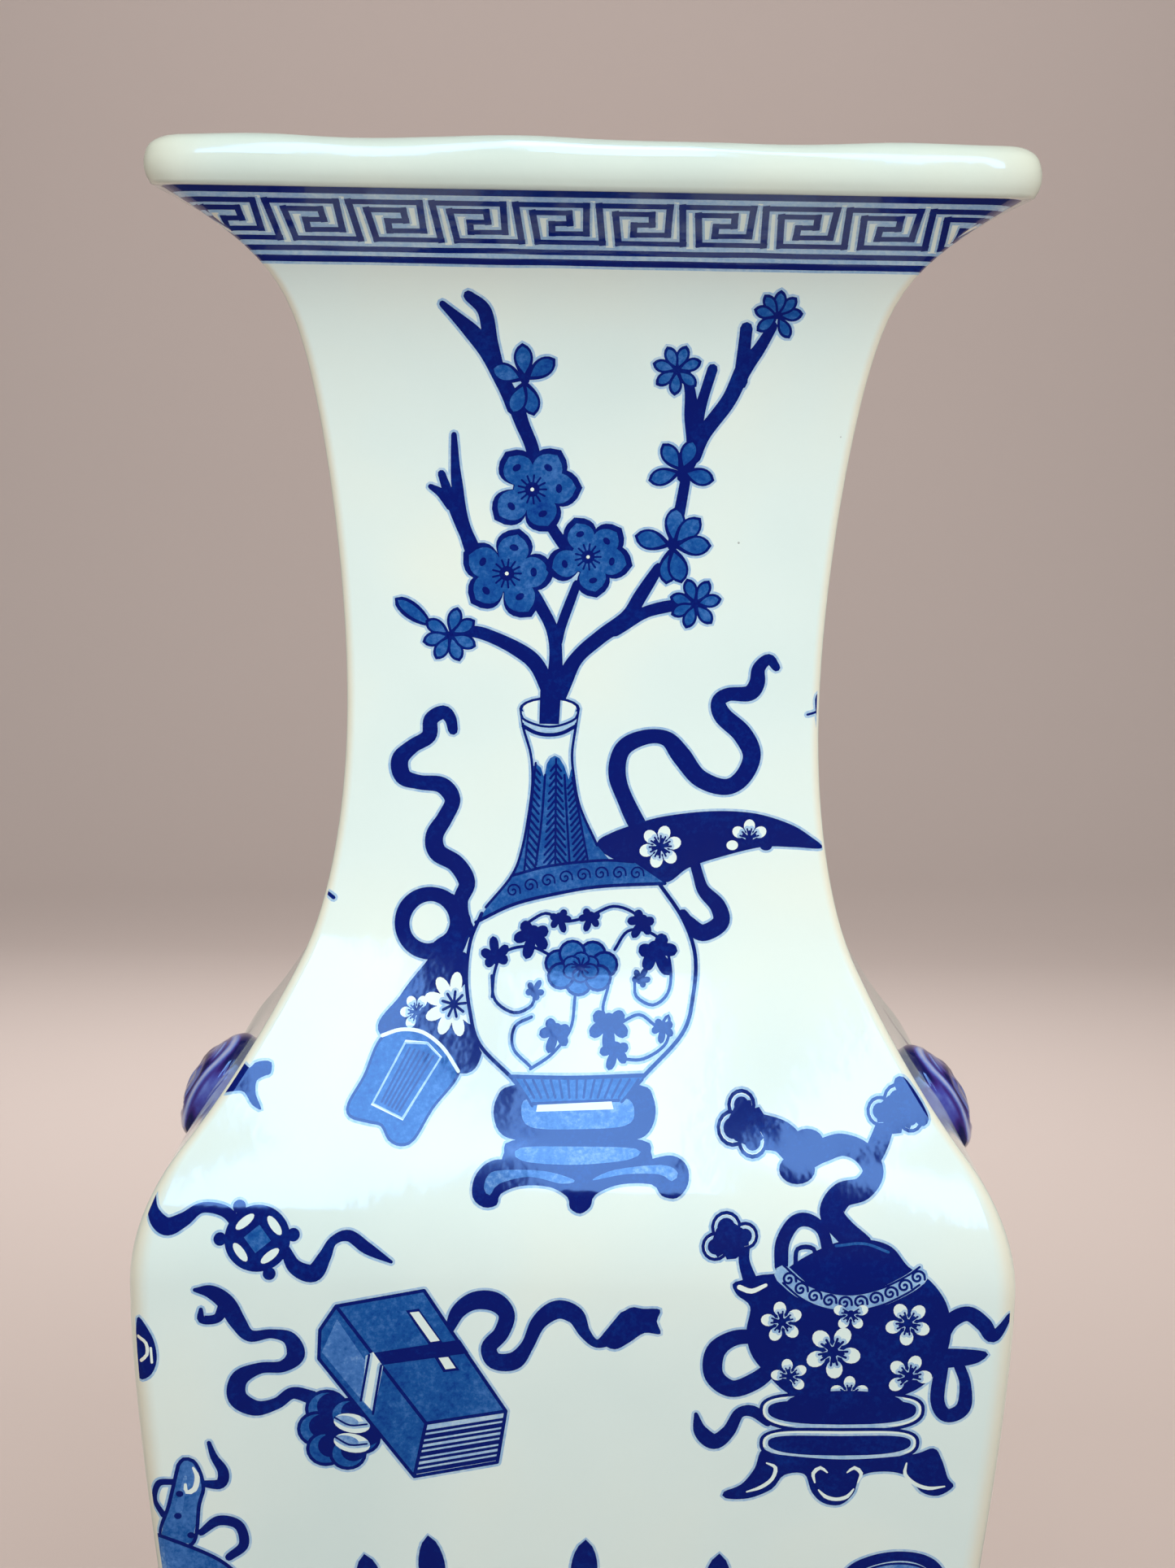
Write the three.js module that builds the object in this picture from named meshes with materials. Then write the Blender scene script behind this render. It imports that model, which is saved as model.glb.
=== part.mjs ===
// Square baluster vase in blue-and-white porcelain, slab built: a rolled lip, four neck walls,
// four shoulder walls and four body walls on a base slab, four foot strips under it, and a
// moulded mask handle on each side of the shoulder. Millimetres, +Z up, the front faces -Y.
import * as THREE from 'three';

// Driving dimensions
const HEIGHT = 460;
const LIP_HALF = 86.2;           // half of the mouth's outer width
const LIP_UNDERSIDE = 449.7;     // height of the lip's flat underside
const LIP_CORNER = 8;            // plan radius of the lip's outer corners
const MOUTH_HALF = 72.4;         // half of the mouth's inner width, just under the lip
const WAIST = [48.9, 346];       // half width and height of the neck's narrowest place
const NECK_BASE = [56.4, 297];   // half width and height where the neck meets the shoulder
const BREAK = [78.6, 260.5];     // half width and height where the shoulder starts to turn down
const BODY_TOP = [88.3, 235];    // half width and height of the body's widest place
const BASE_HALF = 63;            // half width of the base slab
const BASE_TOP = 20;
const FOOT_TOP = 14;
const FOOT_HALF = 65;
const FOOT_DEPTH = 6.5;          // thickness of a foot strip at the floor
const FOOT_LEAN = 1.5;           // how far a foot strip's inner face leans in towards its top
const WALL = 5.5;                // thickness of the slabs
const GAP = 0.3;                 // clearance between neighbouring pieces
const BODY_CORNER = 4.5;         // plan radius of the vertical corners
const NECK_CORNER = 2;
const CORNER_STEPS = 3;          // steps in a wall's half of a rounded corner
const HANDLE_Z = 256;            // height of a mask handle's middle
const HANDLE_LENGTH = 27;        // along the slope
const HANDLE_WIDTH = 25;
const HANDLE_RELIEF = 5.2;
const HANDLE_RIDGE = 0.5;        // height of the ridges on it
const HANDLE_RIDGE_PITCH = 8;

const SIDES = ['front', 'right', 'back', 'left'];

const glaze = new THREE.MeshStandardMaterial({ color: 0xdde9e1, roughness: 0.12, metalness: 0 });
const blueGlaze = new THREE.MeshStandardMaterial({ color: 0x2c3f8e, roughness: 0.15, metalness: 0 });
const biscuit = new THREE.MeshStandardMaterial({ color: 0xe6dccb, roughness: 0.8, metalness: 0 });

// The outline is drawn in half width and height, from the lip down to the base slab.
function curve(...points) {
  return new THREE.CubicBezierCurve(...points.map(([half, z]) => new THREE.Vector2(half, z)));
}

const flareCurve = curve([83, LIP_UNDERSIDE], [65, 439], [61, 433.5], [57.2, 419]);
const neckCurve = curve([57.2, 419], [53.6, 405.6], [WAIST[0], 374], WAIST);
const waistCurve = curve(WAIST, [WAIST[0], 327], [51.6, 308], NECK_BASE);
const shoulderCurve = curve(NECK_BASE, [58.8, 291.5], [68.6, 272.6], BREAK);
const breakCurve = curve(BREAK, [83.6, 254.45], [BODY_TOP[0], 245], BODY_TOP);
const bodyCurve = curve(BODY_TOP, [BODY_TOP[0], 190], [67.5, 60], [BASE_HALF, BASE_TOP]);

// Follows some curves in turn, and gives each step's point, tangent and outward normal.
function follow(pieces) {
  const steps = [];
  for (const [path, count] of pieces) {
    for (let i = steps.length ? 1 : 0; i <= count; i += 1) {
      const point = path.getPoint(i / count);
      const tangent = path.getTangent(i / count);
      steps.push({ point, tangent, normal: new THREE.Vector2(-tangent.y, tangent.x) });
    }
  }
  return steps;
}

// Outer and inner lines of a wall, each end pulled back along the slope by half a gap.
function wallLines(pieces) {
  const steps = follow(pieces);
  const last = steps.length - 1;
  return steps.map(({ point, tangent, normal }, i) => {
    const shift = ((i === 0) - (i === last)) * GAP / 2;
    const outer = point.clone().addScaledVector(tangent, shift);
    return { outer, inner: outer.clone().addScaledVector(normal, -WALL) };
  });
}

// Ends a wall on a level plane instead, as it does under the lip and on the base slab.
function levelEnd(line, z, innerHalf) {
  line.outer.y = z;
  line.inner.set(innerHalf, z);
}

// Plan radius of the vertical corners: crisp on the neck, softer on the body.
function cornerRadius(z) {
  const onNeck = THREE.MathUtils.smoothstep(z, BREAK[1], NECK_BASE[1]);
  return THREE.MathUtils.lerp(BODY_CORNER, NECK_CORNER, onNeck);
}

function solid(positions, index) {
  const geometry = new THREE.BufferGeometry();
  geometry.setAttribute('position', new THREE.Float32BufferAttribute(positions.flat(), 3));
  geometry.setIndex(index);
  geometry.computeVertexNormals();
  return geometry;
}

// Triangles between two equal rings of points, given where each starts in the list.
function band(index, from, to, size) {
  for (let i = 0; i < size; i += 1) {
    const j = (i + 1) % size;
    index.push(from + i, from + j, to + i, from + j, to + j, to + i);
  }
}

// Joins equal rings of points into one closed solid. The ends are fans, as the rings are convex.
function loft(rings) {
  const size = rings[0].length;
  const end = (rings.length - 1) * size;
  const index = [];
  for (let from = 0; from < end; from += size) {
    band(index, from, from + size, size);
  }
  for (let i = 1; i < size - 1; i += 1) {
    index.push(0, i + 1, i);
    index.push(end, end + i, end + i + 1);
  }
  return solid(rings.flat(), index);
}

// One of four mitred walls, facing -Y. Each mitre stops half a gap short of the corner plane.
function wall(lines) {
  const mitre = GAP / Math.SQRT2;
  return loft(lines.map(({ outer, inner }) => {
    const radius = cornerRadius(outer.y);
    const right = [];
    for (let i = 0; i <= CORNER_STEPS; i += 1) {
      const angle = Math.PI / 4 * (1 + i / CORNER_STEPS);
      const out = outer.x - radius + radius * Math.sin(angle);
      const side = outer.x - radius + radius * Math.cos(angle);
      right.push([Math.min(side, out - mitre), -out, outer.y]);
    }
    const left = right.map(([x, y, z]) => [-x, y, z]).reverse();
    const innerLeft = [mitre - inner.x, -inner.x, inner.y];
    const innerRight = [inner.x - mitre, -inner.x, inner.y];
    return [innerLeft, innerRight, ...right, ...left];
  }));
}

// The lip: a roll of this section, led round a square with rounded corners.
function lipGeometry() {
  const section = [
    [74, LIP_UNDERSIDE], [83.6, LIP_UNDERSIDE], [85.3, 450.7], [LIP_HALF, 453], [LIP_HALF, 455.6],
    [85.2, 458.2], [82.8, 459.7], [80.2, HEIGHT], [77.4, 459.4], [75.3, 457.6], [73.8, 454.6],
  ];
  const cornerSteps = 5;
  const rings = [];
  for (let quarter = 0; quarter < 4; quarter += 1) {
    const diagonal = Math.PI / 4 + Math.PI / 2 * quarter;
    for (let i = 0; i <= cornerSteps; i += 1) {
      const angle = Math.PI / 2 * (quarter + i / cornerSteps);
      rings.push(section.map(([half, z]) => {
        const centre = Math.min(LIP_HALF - LIP_CORNER, half - 1);
        const reach = Math.SQRT2 * centre;
        const radius = half - centre;
        return [reach * Math.cos(diagonal) + radius * Math.cos(angle),
          reach * Math.sin(diagonal) + radius * Math.sin(angle), z];
      }));
    }
  }
  const index = [];
  rings.forEach((_, ring) => {
    const next = (ring + 1) % rings.length;
    band(index, next * section.length, ring * section.length, section.length);
  });
  return solid(rings.flat(), index);
}

function neckGeometry() {
  const lines = wallLines([[flareCurve, 6], [neckCurve, 5], [waistCurve, 4]]);
  levelEnd(lines[0], LIP_UNDERSIDE - GAP, MOUTH_HALF);
  return wall(lines);
}

function shoulderGeometry() {
  return wall(wallLines([[shoulderCurve, 4], [breakCurve, 4]]));
}

function bodyGeometry() {
  const lines = wallLines([[bodyCurve, 9]]);
  levelEnd(lines.at(-1), BASE_TOP + GAP, BASE_HALF - WALL);
  return wall(lines);
}

function baseGeometry() {
  const straight = BASE_HALF - BODY_CORNER;
  const outline = new THREE.Shape();
  for (let quarter = 0; quarter < 4; quarter += 1) {
    const diagonal = Math.PI / 4 + Math.PI / 2 * quarter;
    const x = Math.SQRT2 * straight * Math.cos(diagonal);
    const y = Math.SQRT2 * straight * Math.sin(diagonal);
    outline.absarc(x, y, BODY_CORNER, Math.PI / 2 * quarter, Math.PI / 2 * (quarter + 1));
  }
  outline.closePath();
  const depth = BASE_TOP - FOOT_TOP - GAP;
  const curveSegments = CORNER_STEPS;
  return new THREE.ExtrudeGeometry(outline, { depth, bevelEnabled: false, curveSegments });
}

function footGeometry() {
  const outerLine = [[BASE_HALF, FOOT_TOP], [63.4, 9], [64.7, 4.5], [FOOT_HALF, 2], [64, 0]];
  return wall(outerLine.map(([half, z]) => ({
    outer: new THREE.Vector2(half, z),
    inner: new THREE.Vector2(FOOT_HALF - FOOT_DEPTH - FOOT_LEAN * z / FOOT_TOP, z),
  })));
}

// Gives a function that finds a point on the -Y shoulder from the handle's middle: so far down
// the slope, so far to the side and so high above the surface.
function shoulderPlace() {
  const slope = follow([[shoulderCurve, 60], [breakCurve, 60]]);
  const distances = [0];
  for (let i = 1; i < slope.length; i += 1) {
    distances.push(distances[i - 1] + slope[i].point.distanceTo(slope[i - 1].point));
  }
  const middle = distances[slope.findIndex(({ point }) => point.y <= HANDLE_Z)];
  return (along, side, lift) => {
    const wanted = middle + along;
    const lower = distances.findIndex((distance) => distance >= wanted);
    const upper = lower - 1;
    const share = (wanted - distances[upper]) / (distances[lower] - distances[upper]);
    const normal = slope[upper].normal.clone().lerp(slope[lower].normal, share).normalize();
    const point = slope[upper].point.clone().lerp(slope[lower].point, share);
    point.addScaledVector(normal, lift);
    return [side, -point.x, point.y];
  };
}

// A low oval dome on the shoulder of the -Y wall, with soft ridges across it and a back that
// follows the slope.
function handleGeometry() {
  const place = shoulderPlace();
  const around = 28;
  const steps = 7;
  const ring = (reach, lift) => Array.from({ length: around }, (_, i) => {
    const angle = 2 * Math.PI * i / around;
    const along = HANDLE_LENGTH / 2 * reach * Math.cos(angle);
    return place(along, HANDLE_WIDTH / 2 * reach * Math.sin(angle), GAP + lift(along));
  });
  const flat = () => 0;
  const rings = [ring(0.5, flat), ring(1, flat)];
  for (let step = steps; step > 0; step -= 1) {
    const reach = step / steps;
    const dome = HANDLE_RELIEF * Math.sqrt(1 - (0.97 * reach) ** 2);
    const ridge = HANDLE_RIDGE * (1 - reach ** 2);
    rings.push(ring(reach, (along) => dome + ridge * Math.cos(2 * Math.PI * along / HANDLE_RIDGE_PITCH)));
  }
  const top = place(0, 0, GAP + HANDLE_RELIEF + HANDLE_RIDGE);
  const back = place(0, 0, GAP);
  const positions = [...rings.flat(), top, back];
  const topIndex = positions.length - 2;
  const backIndex = positions.length - 1;
  const lastRing = (rings.length - 1) * around;
  const index = [];
  for (let from = 0; from < lastRing; from += around) {
    band(index, from, from + around, around);
  }
  for (let i = 0; i < around; i += 1) {
    const next = (i + 1) % around;
    index.push(lastRing + i, lastRing + next, topIndex);
    index.push(next, i, backIndex);
  }
  return solid(positions, index);
}

const vase = new THREE.Group();

function add(name, geometry, material, quarterTurns = 0) {
  const mesh = new THREE.Mesh(geometry, material);
  mesh.name = name;
  mesh.rotation.z = quarterTurns * Math.PI / 2;
  vase.add(mesh);
  return mesh;
}

add('lip_rim', lipGeometry(), glaze);
const neck = neckGeometry();
const shoulder = shoulderGeometry();
const body = bodyGeometry();
const foot = footGeometry();
SIDES.forEach((side, turn) => {
  add(`neck_wall_${side}`, neck, glaze, turn);
  add(`shoulder_wall_${side}`, shoulder, glaze, turn);
  add(`body_wall_${side}`, body, glaze, turn);
  add(`foot_strip_${side}`, foot, glaze, turn);
});
add('base_slab', baseGeometry(), biscuit).position.z = FOOT_TOP + GAP;
const handle = handleGeometry();
add('mask_handle_right', handle, blueGlaze, 1);
add('mask_handle_left', handle, blueGlaze, 3);

export default vase;
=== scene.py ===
"""Square porcelain vase with underglaze blue painting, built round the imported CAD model.

Each side has a neck, a shoulder and a body panel. The painting is cut into the outer skin of
each panel as real faces, and each face carries its strength of cobalt, from 0 bare to 1 dark.
The painting is laid out in millimetres on each side: x across from the middle, z up from the
foot. The vase is drawn from the front and turned by quarter turns for the other sides.
"""
import math

import bpy
import numpy as np
from mathutils import Matrix, Vector, geometry, noise


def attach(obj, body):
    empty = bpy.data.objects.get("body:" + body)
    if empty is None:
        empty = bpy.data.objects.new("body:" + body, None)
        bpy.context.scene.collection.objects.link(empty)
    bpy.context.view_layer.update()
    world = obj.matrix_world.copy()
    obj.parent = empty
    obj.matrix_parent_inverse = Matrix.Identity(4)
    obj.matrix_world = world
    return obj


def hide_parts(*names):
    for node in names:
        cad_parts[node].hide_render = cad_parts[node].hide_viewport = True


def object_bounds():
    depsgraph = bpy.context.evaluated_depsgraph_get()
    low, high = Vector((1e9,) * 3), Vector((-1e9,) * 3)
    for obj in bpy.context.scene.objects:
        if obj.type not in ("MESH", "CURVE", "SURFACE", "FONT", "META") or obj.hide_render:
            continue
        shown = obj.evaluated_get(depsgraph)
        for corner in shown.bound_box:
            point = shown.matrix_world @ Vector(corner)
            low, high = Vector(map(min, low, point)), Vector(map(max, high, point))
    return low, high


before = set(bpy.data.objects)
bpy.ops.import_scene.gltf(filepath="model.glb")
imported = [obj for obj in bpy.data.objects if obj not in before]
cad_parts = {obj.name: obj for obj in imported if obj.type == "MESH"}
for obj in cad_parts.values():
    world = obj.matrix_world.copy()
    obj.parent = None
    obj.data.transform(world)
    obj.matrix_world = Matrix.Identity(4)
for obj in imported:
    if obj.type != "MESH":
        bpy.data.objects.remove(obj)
cad_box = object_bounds()

MM = 0.001
SIDES = ("front", "right", "back", "left")

# ---------------------------------------------------------------- sizes, in millimetres
HEIGHT = (cad_box[1].z - cad_box[0].z) / MM
LIP_UNDERSIDE = HEIGHT - 10.3
MOUTH_HALF = 72.4
NECK_BASE_Z = 297.0
BODY_TOP_Z = 235.0
BASE_TOP = 20.0
FOOT_TOP = 14.0
BASE_HALF = 63.0
WALL = 5.5
BODY_CORNER = 4.5
NECK_CORNER = 2.0
LIP_CORNER_CENTRE = 78.2
CORNER_TURN = math.pi / 4
GRID_STEP = 12.0

WALL_CURVES = (
    ((83, LIP_UNDERSIDE), (65, 439), (61, 433.5), (57.2, 419)),
    ((57.2, 419), (53.6, 405.6), (48.9, 374), (48.9, 346)),
    ((48.9, 346), (48.9, 327), (51.6, 308), (56.4, NECK_BASE_Z)),
    ((56.4, NECK_BASE_Z), (58.8, 291.5), (68.6, 272.6), (78.6, 260.5)),
    ((78.6, 260.5), (83.6, 254.45), (88.3, 245), (88.3, BODY_TOP_Z)),
    ((88.3, BODY_TOP_Z), (88.3, 190), (67.5, 60), (BASE_HALF, BASE_TOP)),
)
FOOT_OUTER = ((BASE_HALF, FOOT_TOP), (63.4, 9), (64.7, 4.5), (65, 2), (64, 0))
FOOT_INNER = ((57, FOOT_TOP), (58.5, 0))
LIP_SECTION = (
    (74, 449.7), (83.6, 449.7), (85.3, 450.7), (86.2, 453), (86.2, 455.6), (85.2, 458.2),
    (82.8, 459.7), (80.2, 460), (77.4, 459.4), (75.3, 457.6), (73.8, 454.6),
)

# strengths of cobalt
DARK, MID, WASH, PALE, BARE = 1.0, 0.62, 0.42, 0.24, 0.0
BLEED, BLEED_WIDTH = 0.17, 0.5
# the front painting below the key band climbs a little to the right
FRONT_CLIMB = 0.0175
KEY_BAND_FOOT = 434.0


# ---------------------------------------------------------------- curves
def smooth(points, closed=False, step=1.0):
    """A Catmull-Rom curve through the points, sampled about every step."""
    p = np.array(points, float)
    if closed:
        p = np.vstack([p[-1], p, p[0], p[1]])
    else:
        p = np.vstack([2 * p[0] - p[1], p, 2 * p[-1] - p[-2]])
    out = []
    for a, b, c, d in zip(p, p[1:], p[2:], p[3:]):
        count = max(2, int(np.hypot(*(c - b)[:2]) / step) + 1)
        t = np.linspace(0, 1, count, endpoint=False)[:, None]
        cubic = (3 * b - a - 3 * c + d) * t**3
        out.append((2 * b + (c - a) * t + (2 * a - 5 * b + 4 * c - d) * t * t + cubic) / 2)
    if not closed:
        out.append(p[-2][None])
    return np.vstack(out)


def bezier(ends, count=80):
    a, b, c, d = (np.array(e, float) for e in ends)
    t = np.linspace(0, 1, count)[:, None]
    return (1 - t) ** 3 * a + 3 * t * (1 - t) ** 2 * b + 3 * t * t * (1 - t) * c + t**3 * d


class Profile:
    """A side's outline from top to bottom: half width and height, with its outward normal."""

    def __init__(self, points):
        self.w, self.z = points.T
        run = np.gradient(points, axis=0)
        run /= np.linalg.norm(run, axis=1)[:, None]
        self.nw, self.nz = -run[:, 1], run[:, 0]
        self.arc = np.r_[0, np.cumsum(np.hypot(*np.diff(points, axis=0).T))]

    def at(self, z, values):
        return np.interp(-np.asarray(z, float), -self.z, values)

    def levels(self, top, bottom, step):
        """Heights about every step along the outline, both ends included."""
        start, end = self.at((top, bottom), self.arc)
        arcs = np.linspace(start, end, max(2, int((end - start) / step) + 1))
        z = np.interp(arcs, self.arc, self.z)
        z[0], z[-1] = top, bottom
        return z


def joined(curves):
    parts = [bezier(curves[0])] + [bezier(c)[1:] for c in curves[1:]]
    return np.vstack(parts)


wall = Profile(joined(WALL_CURVES))
foot = Profile(smooth(FOOT_OUTER, step=0.5))


def smoothstep(x, low, high):
    t = np.clip((np.asarray(x, float) - low) / (high - low), 0, 1)
    return t * t * (3 - 2 * t)


def corner_radius(z):
    """Corner radius: soft on the body, crisp on the neck, soft again under the lip."""
    low = BODY_CORNER + (NECK_CORNER - BODY_CORNER) * smoothstep(z, 236, 264)
    return low + 4 * smoothstep(z, 438, LIP_UNDERSIDE)


# ---------------------------------------------------------------- drawing
def polar(x, z, reach, turn, rise=None):
    """The place at a reach from x, z in the direction of turn degrees; rise makes it an ellipse."""
    a = math.radians(turn)
    return x + reach * math.cos(a), z + (reach if rise is None else rise) * math.sin(a)


def poly(points, tone=DARK):
    return [(np.array(points, float), tone)]


def level_line(top, bottom, reach=70):
    """A straight band across the whole side."""
    return poly([(-reach, top), (reach, top), (reach, bottom), (-reach, bottom)])


def blob(points, tone=DARK):
    """A filled shape with a smooth edge."""
    return [(smooth(points, closed=True), tone)]


def stroke(points, width, tone=DARK, closed=False):
    """A brush stroke of one width, or of a width for each point, with round ends."""
    p = np.array(points, float)
    widths = np.broadcast_to(np.asarray(width, float), len(p))
    line = smooth(np.c_[p, widths], closed, 0.55 if widths.max() > 1.2 else 1.0)
    if closed:
        line = np.vstack([line, line[:1]])
    run = np.gradient(line[:, :2], axis=0)
    if closed:
        run[0] = run[-1] = run[0] + run[-1]
    run /= np.linalg.norm(run, axis=1)[:, None] + 1e-9
    side = np.c_[-run[:, 1], run[:, 0]]
    half = line[:, 2:3] / 2
    if line[:, 2].max() > 1.2:
        wobble = [noise.noise(Vector((x * 0.13, z * 0.13, 7.0))) for x, z in line[:, :2]]
        half = half * (1 + 0.2 * np.array(wobble)[:, None])
    left, right = line[:, :2] + side * half, line[:, :2] - side * half
    if closed:
        return [(np.vstack([left, right[::-1]]), tone)]
    turns = np.radians((45, 90, 135))[:, None]
    front = line[-1, :2] + half[-1] * (np.cos(turns) * side[-1] + np.sin(turns) * run[-1])
    back = line[0, :2] - half[0] * (np.cos(turns) * side[0] + np.sin(turns) * run[0])
    return [(np.vstack([left, front, right[::-1], back]), tone)]


def outlined(points, line, tone):
    """A filled shape with a dark line round it."""
    return blob(points, tone) + stroke(points, line, DARK, closed=True)


def ellipse(x, z, rx, rz, tone=DARK, turn=0, count=20):
    a = np.linspace(0, 2 * np.pi, count, endpoint=False)
    c, s = math.cos(math.radians(turn)), math.sin(math.radians(turn))
    px, pz = rx * np.cos(a), rz * np.sin(a)
    return [(np.c_[x + px * c - pz * s, z + px * s + pz * c], tone)]


def ring(x, z, rx, rz, line, tone=DARK):
    a = np.linspace(0, 2 * np.pi, 12, endpoint=False)
    return stroke(np.c_[x + rx * np.cos(a), z + rz * np.sin(a)], line, tone, closed=True)


def petal(x, z, turn, length, width, tone=DARK, tip=0.5, start=0.0, root=0.8):
    """A petal or leaf that points along turn degrees; a larger tip is sharper."""
    t = np.linspace(0, 1, 11)
    spread = t**root * (1 - t) ** tip
    half = width / 2 * spread / spread.max()
    along = length * (start + (1 - start) * t)
    c, s = math.cos(math.radians(turn)), math.sin(math.radians(turn))
    upper = np.c_[x + along * c - half * s, z + along * s + half * c]
    lower = np.c_[x + along * c + half * s, z + along * s - half * c]
    return [(np.vstack([upper, lower[-2:0:-1]]), tone)]


def place(shapes, x=0.0, z=0.0, turn=0.0, size=1.0, flip=False):
    """The shapes scaled, mirrored and turned about the origin, then moved."""
    c, s = math.cos(math.radians(turn)), math.sin(math.radians(turn))
    m = np.array([[c, s], [-s, c]]) * size
    if flip:
        m = np.array([[-1.0, 0.0], [0.0, 1.0]]) @ m
    return [(points @ m + (x, z), tone) for points, tone in shapes]


def spiral(x, z, radius, line, turns, start, flip):
    t = np.linspace(0.12, 1, int(8 * turns) + 2)
    a = np.radians(start) + flip * 2 * np.pi * turns * t
    return stroke(np.c_[x + radius * t * np.cos(a), z + radius * t * np.sin(a)], line)


def star(x, z, inner, outer, count, line, tone=DARK):
    """Fine rays round a flower's heart."""
    out = []
    for turn in np.linspace(0, 360, count, endpoint=False):
        out += stroke([polar(x, z, inner, turn), polar(x, z, outer, turn)], line, tone)
    return out


def plum_flower(x, z, r, turns):
    """An open plum blossom: pointed mid blue petals, dark outline, dark rays and spots."""
    out = []
    for k, a in enumerate(turns):
        out += petal(x, z, a, (1.18 + 0.05 * (k % 3)) * r, 0.94 * r, DARK, 0.8, root=1.25)
    out += ellipse(x, z, 0.5 * r, 0.5 * r)
    for k, a in enumerate(turns):
        out += petal(x, z, a, (1.18 + 0.05 * (k % 3)) * r - 1.3, 0.94 * r - 1.35, MID, 0.8, root=1.25)
    out += ellipse(x, z, 0.47 * r, 0.47 * r, MID)
    for a in turns:
        out += ellipse(*polar(x, z, 0.68 * r, a), 0.12 * r, 0.085 * r, DARK, a + 90, 10)
    out += star(x, z, 0.12 * r, 0.36 * r, 13, 0.42)
    out += ellipse(x, z, 0.19 * r, 0.19 * r) + ellipse(x, z, 0.05 * r, 0.05 * r, BARE, count=8)
    return out


def small_flower(x, z, r, turns):
    """A half open blossom of narrow petals, each with its own outline."""
    out = []
    for a in turns:
        out += petal(x, z, a, 1.06 * r, 0.56 * r, DARK, 0.75, root=1.1)
        out += petal(x, z, a, 1.06 * r - 0.7, 0.56 * r - 1.0, MID, 0.75, 0.2, root=1.1)
    return out + ellipse(x, z, 0.13 * r, 0.13 * r)


def white_flower(x, z, r, turn=90, petals=5, lobes=None):
    """A bare blossom left white in a dark ground."""
    out = []
    lobes = range(petals) if lobes is None else lobes
    fat = min(0.29, 1.75 / petals)
    if petals > 6:
        out += ellipse(x, z, 0.56 * r, 0.56 * r, BARE)
    for k in lobes:
        a = turn + 360 * k / petals
        middle = polar(x, z, 0.64 * r, a)
        out += ellipse(*middle, 0.34 * r, fat * r, BARE, a, 14) + stroke([(x, z), middle], fat * r, BARE)
    for k in lobes:
        for side in (-13, 0, 13) if petals < 7 else (0,):
            a = turn + 360 * k / petals + side
            far = 0.5 if side else 0.38
            out += stroke([polar(x, z, 0.1 * r, a), polar(x, z, far * r, a)], 0.09 * r)
    heart = 0.2 * r if petals < 7 else 0.13 * r
    return out + ellipse(x, z, heart, heart)


def vine_leaf(x, z, turn, size):
    """A small lobed leaf of a scrolling vine."""
    out = []
    for side, length in ((0, 1.0), (52, 0.78), (-52, 0.78), (105, 0.55), (-105, 0.55)):
        out += petal(x, z, turn + side, size * length, size * 0.42)
    return out + ellipse(x, z, size * 0.22, size * 0.22)


def cloud_head(x, z, turn, size):
    """A ruyi fungus head: three round lobes with a bare line just inside their edge."""
    lobes = ((-0.46, 0.02, 0.42), (0.48, 0.0, 0.4), (0.03, 0.42, 0.46))
    out = []
    for inset, tone in ((0, DARK), (0.1, BARE), (0.19, DARK)):
        for px, pz, r in lobes:
            out += ellipse(px, pz, r - inset, r - inset, tone, count=16)
    out += blob([(-0.5, -0.3), (-0.5, 0.2), (0.0, 0.62), (0.5, 0.2), (0.5, -0.3), (0.0, -0.16)])
    out += blob([(-0.2, 0.1), (0.2, 0.1), (0.26, -0.45), (-0.26, -0.45)])
    out += ellipse(0.03, 0.42, 0.27, 0.27, DARK, count=12)
    return place([(shape * size, tone) for shape, tone in out], x, z, turn)


def scroll_row(line, radius, pitch, width=0.38):
    """Small spirals along a line."""
    path = smooth(line, step=0.5)
    arc = np.r_[0, np.cumsum(np.hypot(*np.diff(path, axis=0).T))]
    out = []
    for s in np.arange(pitch / 2, arc[-1], pitch):
        x, z = (np.interp(s, arc, path[:, i]) for i in (0, 1))
        out += spiral(x, z, radius, width, 1.6, 200, -1)
    return out


# ---------------------------------------------------------------- motifs
def key_unit(x0, pitch, top, depth):
    """One turn of the key fret, as bars with square corners."""
    turns = ((0, 0), (0.85, 0), (0.85, 0.73), (0.43, 0.74), (0.43, 0.48), (0.65, 0.47),
             (0.64, 0.2), (0.2, 0.2), (0.25, 0.97), (1.05, 0.97), (1, 0))
    out = []
    for (a, b), (c, d) in zip(turns, turns[1:]):
        level = abs(c - a) > abs(d - b) * 0.5
        half = 0.44 if level else 0.68
        p, q = np.array([x0 + a * pitch, top - b * depth]), np.array([x0 + c * pitch, top - d * depth])
        run = (q - p) / np.linalg.norm(q - p)
        side = np.array([-run[1], run[0]]) * half
        reach = run * (0.72 if level else 0.5)
        bar = np.array([p - reach + side, q + reach + side, q + reach - side, p - reach - side])
        lean = 1 - 0.003 * (top - bar[:, 1])
        bar[:, 0] *= lean
        out += poly(bar)
    return out


def key_band():
    """The key fret under the lip, between a thick line and a double line."""
    out = level_line(449.9, 448.6, 90)
    pitch, first = 16.1, -62.9
    for k in range(-2, 10):
        out += key_unit(first + k * pitch, pitch, 447.3, 6.7)
    for z, half in ((439.0, 0.5), (437.1, 0.6)):
        line = [(x, z + 0.12 * noise.noise(Vector((x * 0.08, z, 2.0)))) for x in range(-84, 85, 4)]
        upper = [(x, y + half) for x, y in line]
        out += poly(upper + [(x, y - half) for x, y in reversed(line)])
    return out


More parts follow.
